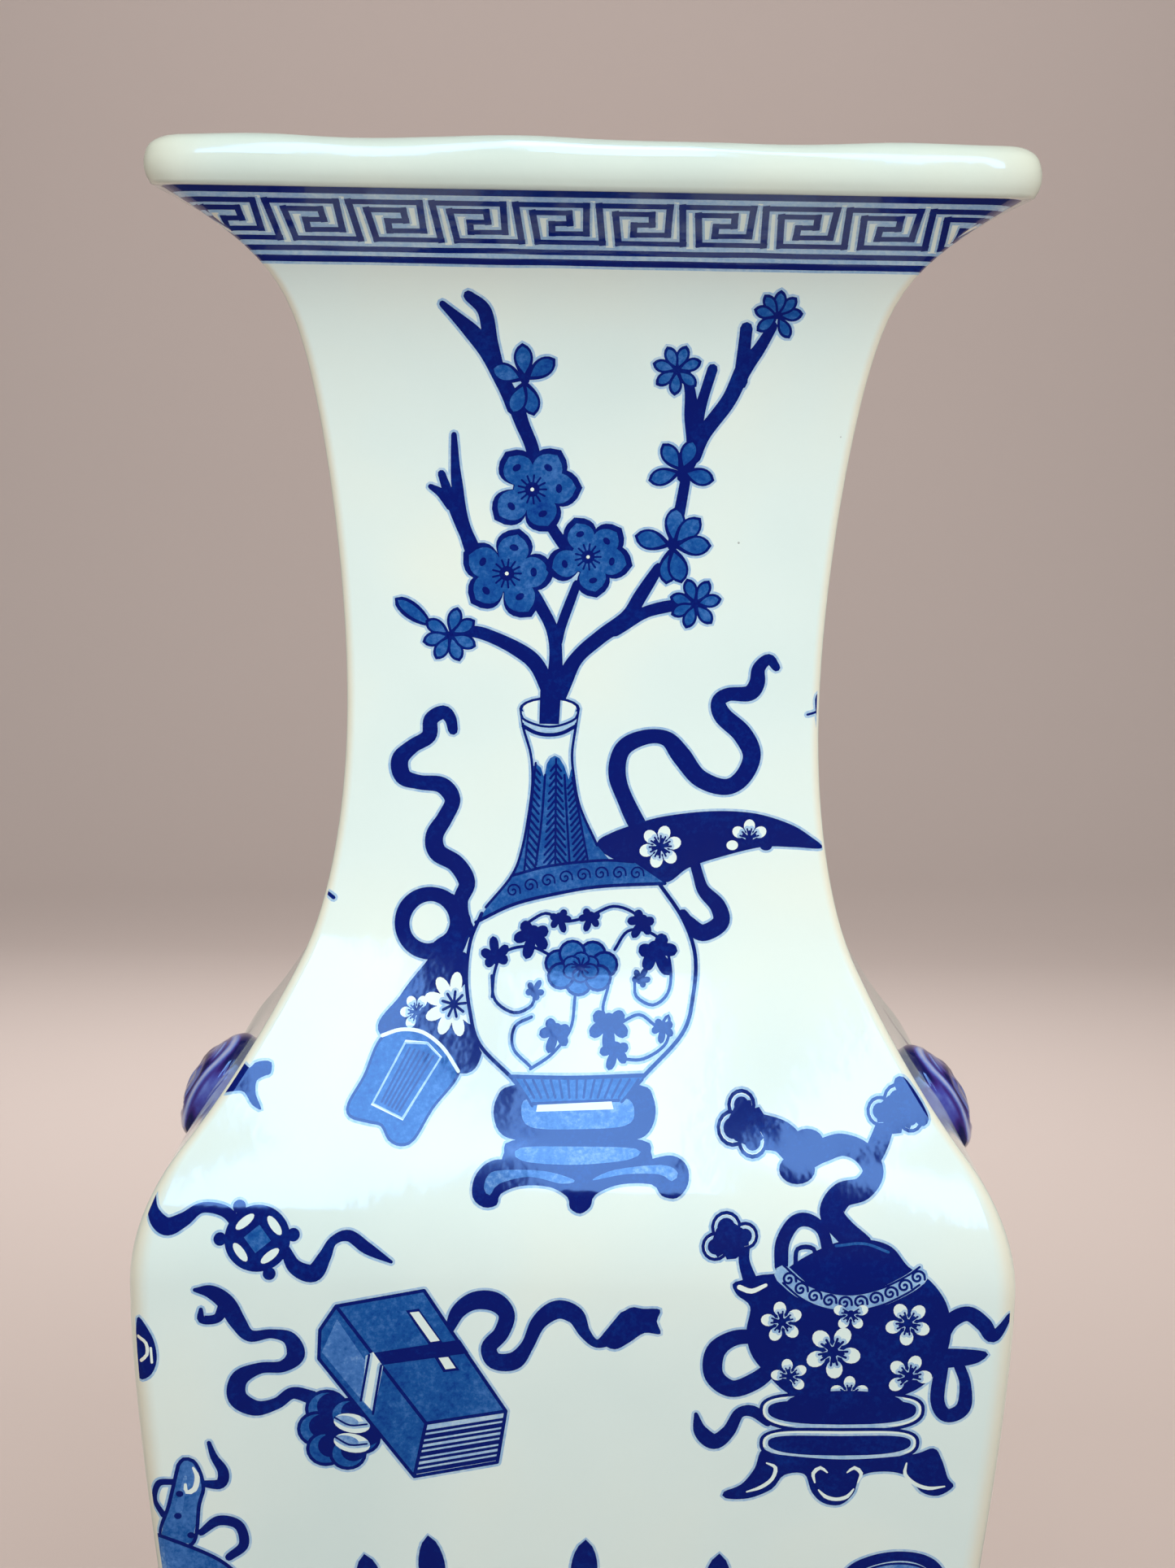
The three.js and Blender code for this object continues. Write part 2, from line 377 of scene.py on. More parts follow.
def plum_branches():
    out = []
    branches = (
        (((-7, 343), (-6.6, 349), (-5.8, 356), (-6.4, 363), (-9.8, 369.6), (-13, 374)),
         (5.2, 4.2, 2.6, 2.4, 2.2, 2)),
        (((-20, 372), (-23.1, 379.9), (-25.2, 385.9), (-26.6, 395), (-27.1, 403.5)),
         (3.2, 3, 2.3, 2, 1)),
        (((-24, 382), (-27, 388.5), (-29.6, 395.6)), (2.4, 2, 1.5)),
        (((-27.6, 389), (-29.6, 391.6), (-31.8, 393)), (1.8, 1.6, 1)),
        (((-5.6, 361), (-4.5, 365.2), (-1.7, 373)), (2, 1.8, 1.8)),
        (((-1.5, 377), (-6.2, 383.4), (-9, 388)), (2.2, 2, 2)),
        (((-10.6, 394), (-11.1, 400.3), (-13.4, 406), (-15, 411)), (2.6, 2.4, 2.6, 3.2)),
        (((-14.6, 409), (-17, 413.6), (-19.7, 418.9), (-23, 423.4), (-29.4, 429.4)),
         (3.4, 2.6, 2.8, 3, 1.2)),
        (((-18.6, 417), (-19.8, 422), (-21, 428), (-24.2, 431)), (2.4, 2.6, 2.6, 1.8)),
        (((-6.4, 349), (-9.5, 356), (-13.8, 359.6), (-20.8, 362.8), (-25.5, 363.4)),
         (3, 2.8, 2.6, 2.4, 1.6)),
        (((-5.6, 349), (-2, 357), (3.2, 362), (8.6, 366), (11.4, 370.6), (15, 376.4)),
         (3.4, 3, 2.8, 2.8, 2.6, 1.8)),
        (((17.8, 381), (19.1, 388.4), (20, 394)), (2.2, 2, 2)),
        (((19.6, 395), (21.6, 401), (21, 407.6), (20.4, 412.7), (19.2, 417)), (2.6, 3, 2.8, 2, 1.6)),
        (((21.6, 403), (22.6, 408.6), (24.9, 416.6)), (2.6, 2.2, 1.8)),
        (((21.4, 399), (23.6, 403.8), (28.3, 410.3), (31.2, 416.6), (34, 420.4), (36.7, 425)),
         (3.2, 2.6, 2.6, 3, 2.2, 1.6)),
        (((30.6, 414), (31, 419), (31.4, 424.6)), (2.6, 2.4, 2.2)),
        (((6, 363.6), (12, 367), (17, 368.4), (22, 369)), (2.8, 2.4, 2.2, 1.4)),
    )
    for points, widths in branches:
        out += stroke(points, np.array(widths) * 1.08 + 0.1)
    out += petal(-31.4, 364.4, 143, 9.6, 3.6, DARK, 0.6) + petal(-32, 364.9, 143, 8, 2.1, MID, 0.6)
    for x, z, r, turns in ((-16.1, 375.2, 8.1, (75, 3, 300, 220, 154)),
                           (0.5, 378.6, 7.3, (110, 41, 349, 283, 197)),
                           (-11.1, 392.4, 8.0, (126, 54, 2, 294, 219))):
        out += plum_flower(x, z, r, turns)
    small = (
        (-27.6, 362.6, 5.6, (30, 75, 150, 195, 240, 290, 335)),
        (17.7, 380.9, 7.6, (165, 85, 45, 0, 262, 285)),
        (19.2, 396, 6.6, (70, 125, 195, 345)),
        (17.8, 416.4, 4.9, (20, 70, 115, 165, 215, 265, 320)),
        (-12.8, 414.4, 7, (95, 35, 285, 250, 160)),
        (37.6, 427, 4.8, (5, 45, 85, 125, 165, 215, 300)),
        (22.7, 369, 5.2, (10, 60, 110, 165, 205, 250, 310)),
    )
    for x, z, r, turns in small:
        out += small_flower(x, z, r, turns)
    return out


def bottle():
    """The painted bottle on its stand, from the branches' mouth down to the three feet."""
    out = blob([(-12.4, 343), (-10.6, 338), (-10.6, 327.5), (-12, 318.8), (-14.1, 312.9),
                (-19.6, 306), (-22.3, 299.7), (-23, 292.7), (-20.3, 280.2), (-12.9, 273.6), (0, 273),
                (13.4, 273.9), (21.7, 282), (24, 290), (24.1, 296.9), (21.4, 304.1), (16.6, 311.2),
                (3.2, 318.5), (-0.3, 326.9), (-1.7, 333.6), (-2.1, 339), (-1.4, 344)], BARE)
    # leaves on the neck with herringbone veins
    out += poly([(-10.5, 334), (-10.2, 335.2), (-9.4, 335.8), (-8.5, 335), (-7.8, 333), (-7.3, 335.8),
                 (-6.6, 337), (-5.7, 337.5), (-4.7, 337), (-3.7, 335.4), (-2.7, 332.6), (-2.3, 334.6),
                 (-1.7, 335.2), (-0.4, 327), (3.4, 319), (6.4, 315.6), (-6, 314.4), (-14, 312.4),
                 (-11.8, 319), (-10.4, 328)], MID)
    for x0, z0, x1, z1 in ((-9.6, 336, -11.6, 313.6), (-5.4, 336.8, -5.2, 315), (-2, 333, 1.6, 315.6)):
        out += stroke([(x0, z0), (x1, z1)], 0.45)
        for k in range(14):
            t = 0.05 + 0.067 * k
            x, z = x0 + (x1 - x0) * t, z0 + (z1 - z0) * t
            reach = 1.0 + 1.5 * t
            for way in (-1, 1):
                if (way, x0) not in ((-1, -9.6), (1, -2)):
                    out += stroke([(x, z), (x + way * reach, z - 0.2 - 1.1 * reach)], 0.5)
    for x0, x1, x2 in ((-7.6, -8.2, -9.2), (-3.6, -2.9, -2.2)):
        out += stroke([(x0, 333.5), (x1, 324), (x2, 315)], 0.5)
    # band of scrolls
    upper = [(-14.2, 312.8), (-6.2, 314.8), (4.3, 315.9), (11, 315.6)]
    lower = [(17.6, 311.2), (4.4, 310.6), (-4.5, 309.2), (-13.6, 307), (-21.4, 303.4)]
    out += poly(np.vstack([smooth(upper), smooth(lower)]), MID)
    out += stroke(upper, 0.6) + stroke(lower, 0.7)
    out += scroll_row([(-15.6, 309.2), (-6, 311.9), (4, 313.2), (14, 313.2)], 1.55, 3.7)
    # outlines
    out += stroke([(-12.8, 346.6), (-12.2, 343), (-10.7, 338), (-10.2, 333), (-10.6, 327.5),
                   (-12, 318.8), (-14.1, 312.9), (-19.4, 306.4)], 0.55)
    out += stroke([(-1, 346.6), (-1.5, 343), (-2.1, 338), (-1.7, 333.6), (-0.3, 326.9), (3.4, 319)], 0.55)
    out += stroke([(-20.2, 305.2), (-22.4, 299.7), (-23, 292.7), (-22, 286), (-19.8, 280),
                   (-12.9, 273.8)], 0.75)
    out += stroke([(16.4, 311.2), (21.4, 304.1), (24, 296.9), (23.6, 289), (21.4, 282),
                   (13.4, 274)], 0.8)
    # mouth
    out += ellipse(-6.9, 347.2, 6.3, 2.5) + ellipse(-6.9, 347.2, 5.6, 1.95, BARE)
    out += poly([(-12.9, 346.8), (-12.4, 344.4), (-9, 342.6), (-6.9, 342.3), (-4.8, 342.6),
                 (-1.4, 344.4), (-0.9, 346.8), (-6.9, 344.8)], BARE)
    out += stroke([(-12.9, 347), (-12.4, 345.2), (-9.6, 343.9), (-6.9, 343.5), (-4.2, 343.9),
                   (-1.5, 345.2), (-0.9, 347)], 0.5)
    out += stroke([(-12.3, 343.6), (-9.6, 342.2), (-6.9, 341.8), (-4.2, 342.2), (-1.5, 343.6)], 0.8)
    out += poly([(-9, 344.1), (-4.9, 344), (-4.6, 351), (-8.9, 351)])
    # peony and vines on the body
    vines = (
        ((-17.6, 289), (-17.2, 294), (-15.2, 297.6), (-10, 298.6), (-4.8, 296.4)),
        ((-17.8, 293), (-17, 288.4), (-13, 286), (-9.4, 287.4), (-9, 290)),
        ((7.4, 298), (10, 301.6), (14, 301.6), (17.6, 299), (19, 294), (18.4, 289.6), (15.4, 287.4),
         (12, 289), (11.6, 291.6)),
        ((-11.2, 303), (-7, 305.2), (-3, 303.6), (2, 304.6), (7, 306.6), (11.6, 305), (12.6, 302)),
        ((-0.6, 289), (-1.4, 283), (-5, 278.4), (-9.4, 275.6)),
        ((-9.4, 276), (-13, 279.4), (-12.8, 283.4), (-9.4, 285.2)),
        ((6.2, 291), (5.2, 286.2), (8, 283.4)),
        ((8, 283.6), (12.6, 285.6), (16.4, 283.4), (18.6, 285.4), (18.2, 280.4), (13.6, 277.4), (9, 277.4)),
    )
    for v in vines:
        out += stroke(v, 0.62)
    for x, z, turn, size in ((-9.4, 301.6, 255, 4.2), (-4.2, 304.6, 290, 2.6), (2.4, 304.8, 250, 2.6),
                             (13.2, 304, 240, 3.2), (15.6, 298.4, 300, 4.6), (-17, 296.2, 100, 3.4),
                             (12.6, 292, 60, 2.2), (-9.2, 289.6, 60, 2.2), (-4.2, 283, 250, 3.6),
                             (6.4, 284.6, 270, 4.6), (8, 279.6, 250, 3.4), (17.6, 283.6, 260, 2.6)):
        out += vine_leaf(x, z, turn, size * 1.35)
    for k in (1, 3, 5, 0, 2, 4, 6):
        middle = polar(0.5, 294.6, 4.9, 10 + 51 * k, 2.9)
        out += ellipse(*middle, 2.9, 2.7, DARK, 0, 16) + ellipse(*middle, 2.3, 2.1, MID, 0, 16)
    for k in range(6):
        middle = polar(0.5, 294.6, 2.2, 30 + 60 * k, 1.5)
        out += ellipse(*middle, 1.9, 1.6, DARK, 0, 12) + ellipse(*middle, 1.45, 1.15, MID, 0, 12)
    out += star(0.5, 294.6, 0.4, 1.8, 10, 0.42) + ellipse(0.5, 294.6, 0.8, 0.7)
    # ribbed collar and the two rolls of the stand
    out += blob([(-13, 272.6), (-16, 270.4), (-16.5, 267), (-14.6, 263.8), (-9, 262.6), (0, 262.4),
                 (9, 262.6), (14, 263.6), (16, 266.8), (15.6, 270.4), (13, 272.6), (0, 273.4)])
    out += blob([(-11, 268), (-9.4, 270.4), (0, 270.2), (9.6, 270.4), (11.8, 268), (10, 265.4),
                 (0, 264.8), (-9, 265.2)], WASH)
    out += poly([(-13.2, 274.2), (13.6, 274.2), (9.4, 269.6), (-8.6, 269.2)], MID)
    for k in range(15):
        x = -11.8 + 1.7 * k
        out += stroke([(x * 1.05, 273.6), (x * 0.84, 270.4)], 0.5)
    out += stroke([(-13.4, 274.2), (0, 274), (13.8, 274.4)], 0.75)
    out += stroke([(-13, 273.6), (-10.4, 271), (-8.8, 268.9)], 0.5)
    out += stroke([(-8.8, 269.3), (8.6, 269.9)], 0.6) + stroke([(13.4, 273.6), (9.2, 269.6)], 0.5)
    out += poly([(-7.8, 269.1), (7.2, 269.7), (7.6, 268.3), (-8, 267.9)], BARE)
    out += blob([(-12.6, 262.9), (-14.2, 260.8), (-13.4, 258.2), (0, 257), (14, 258.2), (15.2, 260.8),
                 (13.4, 262.9), (0, 263.2)])
    out += blob([(-11, 261.6), (-10.6, 259.4), (0, 258.7), (11, 259.6), (12.2, 261.4), (0, 261.8)], WASH)
    # feet
    out += blob([(-13.6, 259.6), (-17.6, 259), (-20, 256.4), (-20.2, 253), (-18, 251.2), (-15.4, 251.6),
                 (-14.6, 253.6), (-10.6, 255), (-5, 254.8), (-1.4, 253), (-0.8, 251), (1.2, 250),
                 (3.2, 251.2), (4.2, 253.4), (9, 255.2), (15.4, 255.2), (17.4, 253.2), (20.4, 252.8),
                 (22.6, 255.2), (22.4, 258.4), (19.6, 260.2), (15, 259.6), (6, 257.6), (-6, 257.6)])
    out += blob([(-14.4, 257.8), (-17.2, 257), (-18, 254.6), (-16.8, 253.4), (-15, 255.4), (-9, 256.6),
                 (-2.6, 255.4), (0, 256), (-6, 257.6)], WASH)
    out += blob([(3.6, 256), (10, 257), (16.8, 257), (19.4, 255.8), (20.6, 257.2), (17.6, 258.6),
                 (8, 257.8)], WASH)
    return out


def horn():
    """The dark horn behind the bottle with two bare blossoms and its ribbons."""
    out = stroke([(14.6, 322), (12.6, 322), (9.5, 327.5), (7.3, 333.6), (8.4, 338.9), (12.9, 341.3),
                  (17.4, 341), (20.5, 337.5), (24.3, 332.9), (29.6, 331), (33.2, 332.9), (35.1, 337.5),
                  (33, 342), (28.9, 345.8), (28, 348.7), (30, 350.2), (34.2, 350.4), (35.8, 352.5),
                  (36.1, 355.6), (38.1, 357.5), (39.7, 355.8)],
                 (3, 3.2, 3.4, 3.4, 3.4, 3.2, 3.4, 3.8, 3.6, 3.4, 3.4, 3.6, 3.6, 3.6, 3.2, 3.2, 3.4,
                  3.2, 2.8, 2.4, 1.8))
    out += stroke([(23.4, 316.4), (24.4, 313), (25.6, 309.8), (28.6, 306.6), (29.2, 303.3),
                   (25.5, 301.3), (22.4, 303.3), (21.4, 305)], (2, 2.4, 2.8, 3.2, 3.4, 3.2, 2.8, 2))
    out += blob([(3.4, 319.6), (6.4, 321.6), (10.8, 323.2), (16.9, 324.9), (26.6, 326), (35.7, 325.6),
                 (43.2, 323.4), (47.6, 320.8), (50.2, 318.4), (44, 318.6), (37.4, 318.6), (28.3, 316.4),
                 (22.3, 314.3), (17.4, 311.4), (11, 315.4), (4.6, 316)])
    out += white_flower(16.5, 318.7, 4.5, 75, 6)
    out += white_flower(34.9, 320.4, 4.0, 90, 6, (0, 1, 5))
    out += ellipse(38.4, 318.9, 1.3, 1) + ellipse(31.4, 319, 1.2, 1, BARE)
    return out


def pouch():
    """The left ribbon with its ring, over a flowered pouch with a ribbed panel."""
    out = blob([(-29.5, 297.4), (-31.6, 295.4), (-36.4, 289.4), (-40.2, 282), (-23.6, 274.8),
                (-19.2, 279), (-20.6, 284), (-22.4, 288.8), (-22.8, 297)])
    out += white_flower(-25.4, 287.6, 6.3, 85, 9) + white_flower(-33, 286.2, 3.4, 60, 6, (0, 1, 2, 3))
    out += outlined([(-39.6, 281.6), (-43, 274.4), (-45.9, 269.4), (-45.4, 267.2), (-41.6, 266.2),
                     (-39, 265.6), (-37.4, 263.2), (-35, 262.2), (-32.4, 263.2), (-29, 268.5),
                     (-23.8, 275.4), (-28, 280.6), (-32.6, 282.8)], 0.55, MID)
    out += stroke([(-39.8, 281.8), (-36, 282.9), (-31.6, 282.4), (-27.4, 279.6), (-24, 275.2)], 0.7, BARE)
    out += poly([(-35, 281), (-41.4, 269.2), (-34.8, 266.4), (-27.4, 277.8), (-30.4, 280.6)], BARE)
    out += poly([(-34.9, 280.3), (-40.8, 269.5), (-35, 267), (-27.9, 277.7), (-30.6, 280.1)], MID)
    for k in range(6):
        t = 0.08 + 0.165 * k
        out += stroke([(-34.5 + 5.8 * t, 279.6 - 1.8 * t), (-39.6 + 4.4 * t, 269.9 - 2 * t)], 0.45)
    out += stroke([(-26.8, 342.8), (-27.4, 345.2), (-28.9, 346.5), (-31.4, 345), (-31.8, 341.6),
                   (-35.2, 339.4), (-37.7, 336.7), (-37, 333.2), (-33.6, 332), (-29, 331.4),
                   (-26.7, 328.4), (-28.2, 324.7), (-30.3, 321), (-29.6, 317.6), (-25.7, 315.2),
                   (-23.4, 311.4), (-24.6, 307.8), (-23.9, 304.1), (-22, 301)],
                  (2, 2.4, 2.8, 3, 3, 3.4, 3.8, 3.8, 3.4, 3.2, 3.2, 3.4, 3.6, 3.8, 3.6, 3.2, 3, 2.6, 2))
    out += ring(-30.9, 303.4, 5.7, 5.7, 3.0)
    out += stroke([(-26.6, 307.6), (-24, 303.4), (-25.8, 299.4), (-28, 297.4)], (3, 3.4, 4.6, 5))
    return out


def coin():
    """A round coin pattern with four knobs between two ribbons."""
    out = stroke([(-86, 256.6), (-84.6, 254), (-83.6, 250.4), (-80.8, 247.8), (-77.4, 249),
                  (-73.9, 251.2), (-69.4, 250.6), (-66.4, 248)], (0.8, 1.8, 3, 3.4, 2.6, 1.8, 2.2, 2.4))
    out += stroke([(-57, 243.4), (-55, 240), (-51.4, 238.8), (-49.2, 242), (-47.6, 245), (-44.5, 246),
                   (-40.8, 243.6), (-36, 241)], (2, 3, 3.6, 2.8, 1.9, 2.2, 2.4, 0.7))
    for x, z in ((-66.4, 251.4), (-55.5, 246.2), (-60.1, 238.7), (-70, 245.4)):
        out += ellipse(x, z, 1.3, 1.3)
    out += ellipse(-62.6, 245.4, 6.4, 6.2)
    for a in (38, 128, 218, 308):
        out += ellipse(*polar(-62.6, 245.4, 4.2, a, 4.1), 0.85, 2.2, BARE, a, 14)
    out += poly([polar(-62.6, 245.4, 2.7, a) for a in (83, 173, 263, 353)], MID)
    out += ring(-62.6, 245.4, 6.1, 5.9, 0.9)
    return out


def book():
    """A boxed book tied with a strap and ribbons."""
    out = stroke([(-24.4, 227), (-22.6, 231), (-19.4, 233.2), (-15.4, 233), (-13, 230.4), (-14, 226.6),
                  (-16.4, 223.6), (-15.2, 220.8), (-11.4, 220.8), (-8.8, 224), (-6.6, 228.8),
                  (-3, 231.4), (0.6, 230.2), (2.6, 226.6), (5, 224.4), (8, 226), (11.2, 229.4)],
                 (1.6, 3, 3.8, 4, 3.6, 3, 3.2, 3.6, 3.6, 2.6, 3, 3.6, 3.6, 2.4, 1.8, 3.4, 4.2))
    out += blob([(6.4, 224.6), (8.4, 229), (11.4, 231.8), (14, 231.6), (17.4, 231.4), (16.8, 229),
                 (17.6, 226.4), (14.4, 226.6), (11.4, 224.6), (8.6, 223.2)])
    out += stroke([(-74.8, 235.4), (-71.6, 235), (-68.6, 232.8), (-66.4, 229), (-63.9, 226),
                   (-59.6, 226.4), (-56, 225.4), (-54.8, 222), (-57.4, 219.6), (-62, 219.2),
                   (-66, 217), (-66.4, 213), (-62.8, 210.8), (-58.6, 211.8), (-55.4, 214),
                   (-51.4, 213)],
                   (0.8, 2.6, 3.4, 3.6, 2.6, 2, 3.2, 3.8, 2.6, 2.2, 3.4, 3.8, 3.2, 2.4, 2.4, 3))
    out += stroke([(-69, 232), (-70.4, 229.6), (-73.4, 229.4), (-73.6, 231.4)], (2.4, 2, 1.7, 0.8))
    for x, z, r in ((-48.6, 210.6, 4.4), (-44.4, 209.4, 3.8), (-50.6, 206.4, 4), (-48.8, 202.2, 4),
                    (-44.4, 201.2, 3.8), (-41.4, 204.4, 3.6)):
        out += ellipse(x, z, r, 0.95 * r) + ellipse(x, z, r - 0.7, 0.95 * r - 0.7, MID)
        out += ellipse(x + 1.1, z + 0.6, r - 1.3, 0.9 * r - 1.1)
    out += ellipse(-45.6, 205.6, 3.4, 3)
    for z, lift in ((207.6, 1), (203.4, 1.1)):
        out += ellipse(-43.6, z, 3.7, 2, BARE, -12) + ellipse(-44.6, z + 0.5, 2.4, 1.1, 0.3, -12)
        out += stroke([(-47, z + 1.2 * lift), (-44, z - 0.4), (-40.6, z - 0.2)], 0.4)
    cover = [(-46.8, 232.1), (-29.4, 235.3), (-12.9, 210.2), (-28.8, 207.6)]
    spine = [(-46.8, 232.1), (-28.8, 207.6), (-31.1, 196.2), (-50.2, 221.2), (-50, 227.2)]
    pages = [(-28.8, 207.6), (-12.9, 210.2), (-14.5, 199.3), (-31.1, 196.2)]
    out += poly(cover, MID) + poly(spine, MID) + poly(pages, BARE)
    out += poly([(-49.6, 222.6), (-46.6, 229.4), (-38.4, 217), (-40.2, 210.6)], WASH)
    for edge in (cover, spine, pages):
        for a, b in zip(edge, edge[1:] + edge[:1]):
            out += stroke([a, b], 0.72)
    for k in range(8):
        t = 0.12 + 0.11 * k
        out += stroke([(-28.6 - 2.2 * t, 207.2 - 11.2 * t), (-13.2 - 1.5 * t, 209.8 - 10.8 * t)],
                      0.62 + 0.3 * (k % 3 == 1))
    out += poly([(-39.6, 222.4), (-22.2, 225.2), (-20.4, 222.4), (-38.2, 219.8)])
    out += poly([(-40.9, 221.8), (-39.4, 222.6), (-37.4, 219.6), (-39.2, 209.8), (-41.6, 212.6)], BARE)
    out += stroke([(-40.2, 222), (-41.8, 212.4)], 0.5) + stroke([(-37.8, 219.8), (-39.4, 209.6)], 0.5)
    out += poly([(-33, 231.2), (-30.4, 231.6), (-25.6, 224.6), (-28.4, 224.2)])
    out += poly([(-32.2, 230.8), (-30.4, 231), (-26.2, 225), (-28, 224.7)], BARE)
    out += poly([(-27.4, 221.8), (-24.4, 222.2), (-22.2, 218.8), (-25.4, 218.4)])
    out += poly([(-26.4, 221.4), (-24.5, 221.6), (-23, 219.3), (-25, 219)], BARE)
    return out


def clappers():
    """Two crossed slabs tied with a cord."""
    out = stroke([(-72.2, 203.4), (-71.2, 200.4), (-69.4, 197.2), (-70, 194.6), (-73.4, 194.6)],
                 (0.9, 1.5, 2, 2, 1.4))
    out += stroke([(-79.4, 195), (-82.4, 194.6), (-83.6, 191), (-81.6, 187.8)], 1.5)
    out += stroke([(-74, 184), (-70.4, 186.6), (-66.4, 185.6), (-65.4, 181.4), (-68.4, 178.6)],
                  (1.5, 2.1, 2.1, 2, 1.6))
    slabs = ([(-78.4, 198.6), (-77.3, 199.9), (-75.4, 199.5), (-74, 197), (-73.4, 193.5), (-74.3, 190),
              (-75.8, 181.5), (-82.4, 182.5), (-80.4, 190)],
             [(-83.4, 183), (-80, 182.4), (-70.4, 178), (-65.4, 172.8), (-64.8, 168), (-69, 166.6),
              (-76, 171.4), (-84, 176.6)])
    for slab in slabs:
        out += poly(slab, 0.52) + stroke(slab + slab[:1], 0.8)
        (x0, z0), (x1, z1) = slab[0], slab[-1]
        out += stroke([(x0 + 1.4, z0 - 2.6), (x1 + 2, z1 - 1)], (0.8, 1.6), WASH)
    out += stroke([(-75.4, 198), (-74.6, 196), (-75.2, 193.4), (-76.8, 192.8), (-77, 194.4)],
                  (0.5, 1, 1.1, 0.9, 0.6), BARE)
    for x, z in ((-78.2, 192.4), (-78.6, 187.6), (-76, 183.4)):
        out += ellipse(x, z, 0.8, 0.7, count=10)
    return out


def censer():
    """The flowered pot on its stand, with fungus heads on a curling stem."""
    out = stroke([(36.6, 264.4), (41.4, 263.4), (45.4, 260.2), (49.4, 261), (53.6, 262), (57.6, 260.6),
                  (59.6, 257.4), (57.4, 254.4), (53.2, 253.2), (51.2, 250), (53.8, 246.6), (57.4, 243.8)],
                 (6, 5.4, 5, 4.4, 3.8, 4, 4.4, 4.4, 4.6, 5.2, 4.6, 4.4), DARK)
    out += cloud_head(34.6, 265.8, 110, 7.2)
    out += ellipse(44.4, 257.8, 3.6, 2.6) + ellipse(46.6, 262.6, 3.2, 2.2)
    out += stroke([(59, 259), (61, 262.4), (62.4, 265.4)], (3.6, 3.8, 3.6))
    out += cloud_head(64.4, 267.2, 350, 6.6)
    out += stroke([(34.6, 246.4), (33.8, 241.6), (35.2, 237)], (1.6, 2, 3)) + cloud_head(31, 244.8, 20, 6.6)
    out += stroke([(41.2, 240), (41.4, 244.6), (43.6, 248.2), (46.4, 248.8), (49.2, 247), (50.4, 243),
                   (50.4, 239)], 2.5)
    out += stroke([(44, 240), (44.4, 243.4), (47.6, 243.4), (47.8, 240)], 0.9)
    # handles and ribbons
    out += stroke([(38, 225.8), (32.4, 225.6), (28.6, 222.8), (28.4, 217.8), (32, 215), (36.6, 216.6),
                   (40.4, 219.8)], (3, 3.4, 3.6, 3.6, 3.6, 3.6, 3))
    out += stroke([(73, 225), (75, 229), (78.4, 230.6), (81.6, 228.4), (83.6, 226), (87, 229.6)],
                  (2.6, 3, 3.2, 3.4, 2.8, 1.6))
    out += blob([(72.6, 223.2), (82.2, 222.8), (81, 220.6), (76.6, 219.6), (72, 219.6)])
    out += stroke([(73.6, 220), (73, 212.6), (75, 209.4), (78.2, 211), (78.4, 216), (77, 220)],
                  (2.4, 2.6, 2.8, 2.8, 2.4, 2.2))
    out += stroke([(25, 209.6), (26, 206), (28.8, 203.8), (31.6, 206), (33.6, 209.8), (36.4, 210.2),
                   (39.4, 207.8)], (0.8, 2.4, 3, 2.8, 2.4, 2.4, 1.6))
    # pot
    out += blob([(31.6, 236.6), (33.4, 237.4), (37, 238.4), (41, 239), (46, 242), (52, 244.6),
                 (58, 245.2), (63, 243.8), (66.4, 240), (70.6, 237.4), (73.9, 233), (75.2, 227.4),
                 (74.2, 221.6), (71.4, 217), (66, 213.6), (55, 211.6), (44.4, 213.4), (38.6, 218.4),
                 (35.6, 222.4), (34.6, 227), (35.2, 232), (32.6, 234.4)])
    out += stroke([(33, 236), (35.4, 235.2), (38.2, 236.4)], (1, 1, 0.7), BARE)
    collar = [(41.6, 238.6), (45.4, 235.4), (50, 233.4), (55.4, 232.8), (61, 234), (66, 236.4),
              (68.6, 238.2)]
    out += stroke(collar, 3.4, PALE)
    out += stroke([(x, z + 1.75) for x, z in collar], 0.45, DARK)
    out += stroke([(x, z - 1.75) for x, z in collar], 0.45, DARK) + scroll_row(collar, 1.5, 3.1, 0.5)
    out += stroke([(52, 244), (57.6, 244.4), (62.4, 242.8)], 0.5, MID)
    for x, z, r, turn, lobes in ((41.6, 228.9, 5, 100, None), (51.9, 222.7, 6.6, 60, None),
                                 (66.6, 228.6, 5.4, 50, None), (55.2, 230.6, 4.2, 90, (1, 2, 3, 4)),
                                 (43.4, 217.6, 4.4, 30, (0, 1, 2, 4)), (67.2, 217.6, 5.4, 70, (0, 1, 2, 4)),
                                 (55.4, 213.8, 4.6, 90, (0, 1, 4))):
        out += white_flower(x, z, 0.86 * r, turn, 5, lobes)
    # rings of the stand
    for top, bottom, left, right in ((214.2, 205.8, 37.6, 70.6), (206.8, 199.2, 37.8, 69.8)):
        mid, half = (left + right) / 2, (right - left) / 2
        low = (top + bottom) / 2
        for inset, tone in ((0, DARK), (0.7, BARE), (1.7, DARK)):
            span = half - inset
            rise = (top - bottom) / 2 - inset
            turns = np.linspace(0, 2 * np.pi, 40, endpoint=False)
            c, s = np.cos(turns), np.sin(turns)
            out += poly(np.c_[mid + span * np.sign(c) * abs(c) ** 0.5,
                              low + rise * np.sign(s) * abs(s) ** 0.8 - 0.6 * (1 - abs(c)) + 0.5], tone)
    out += blob([(43, 211), (45, 213.6), (55, 214.6), (64, 213.6), (66.6, 211), (62, 209), (48, 209)])
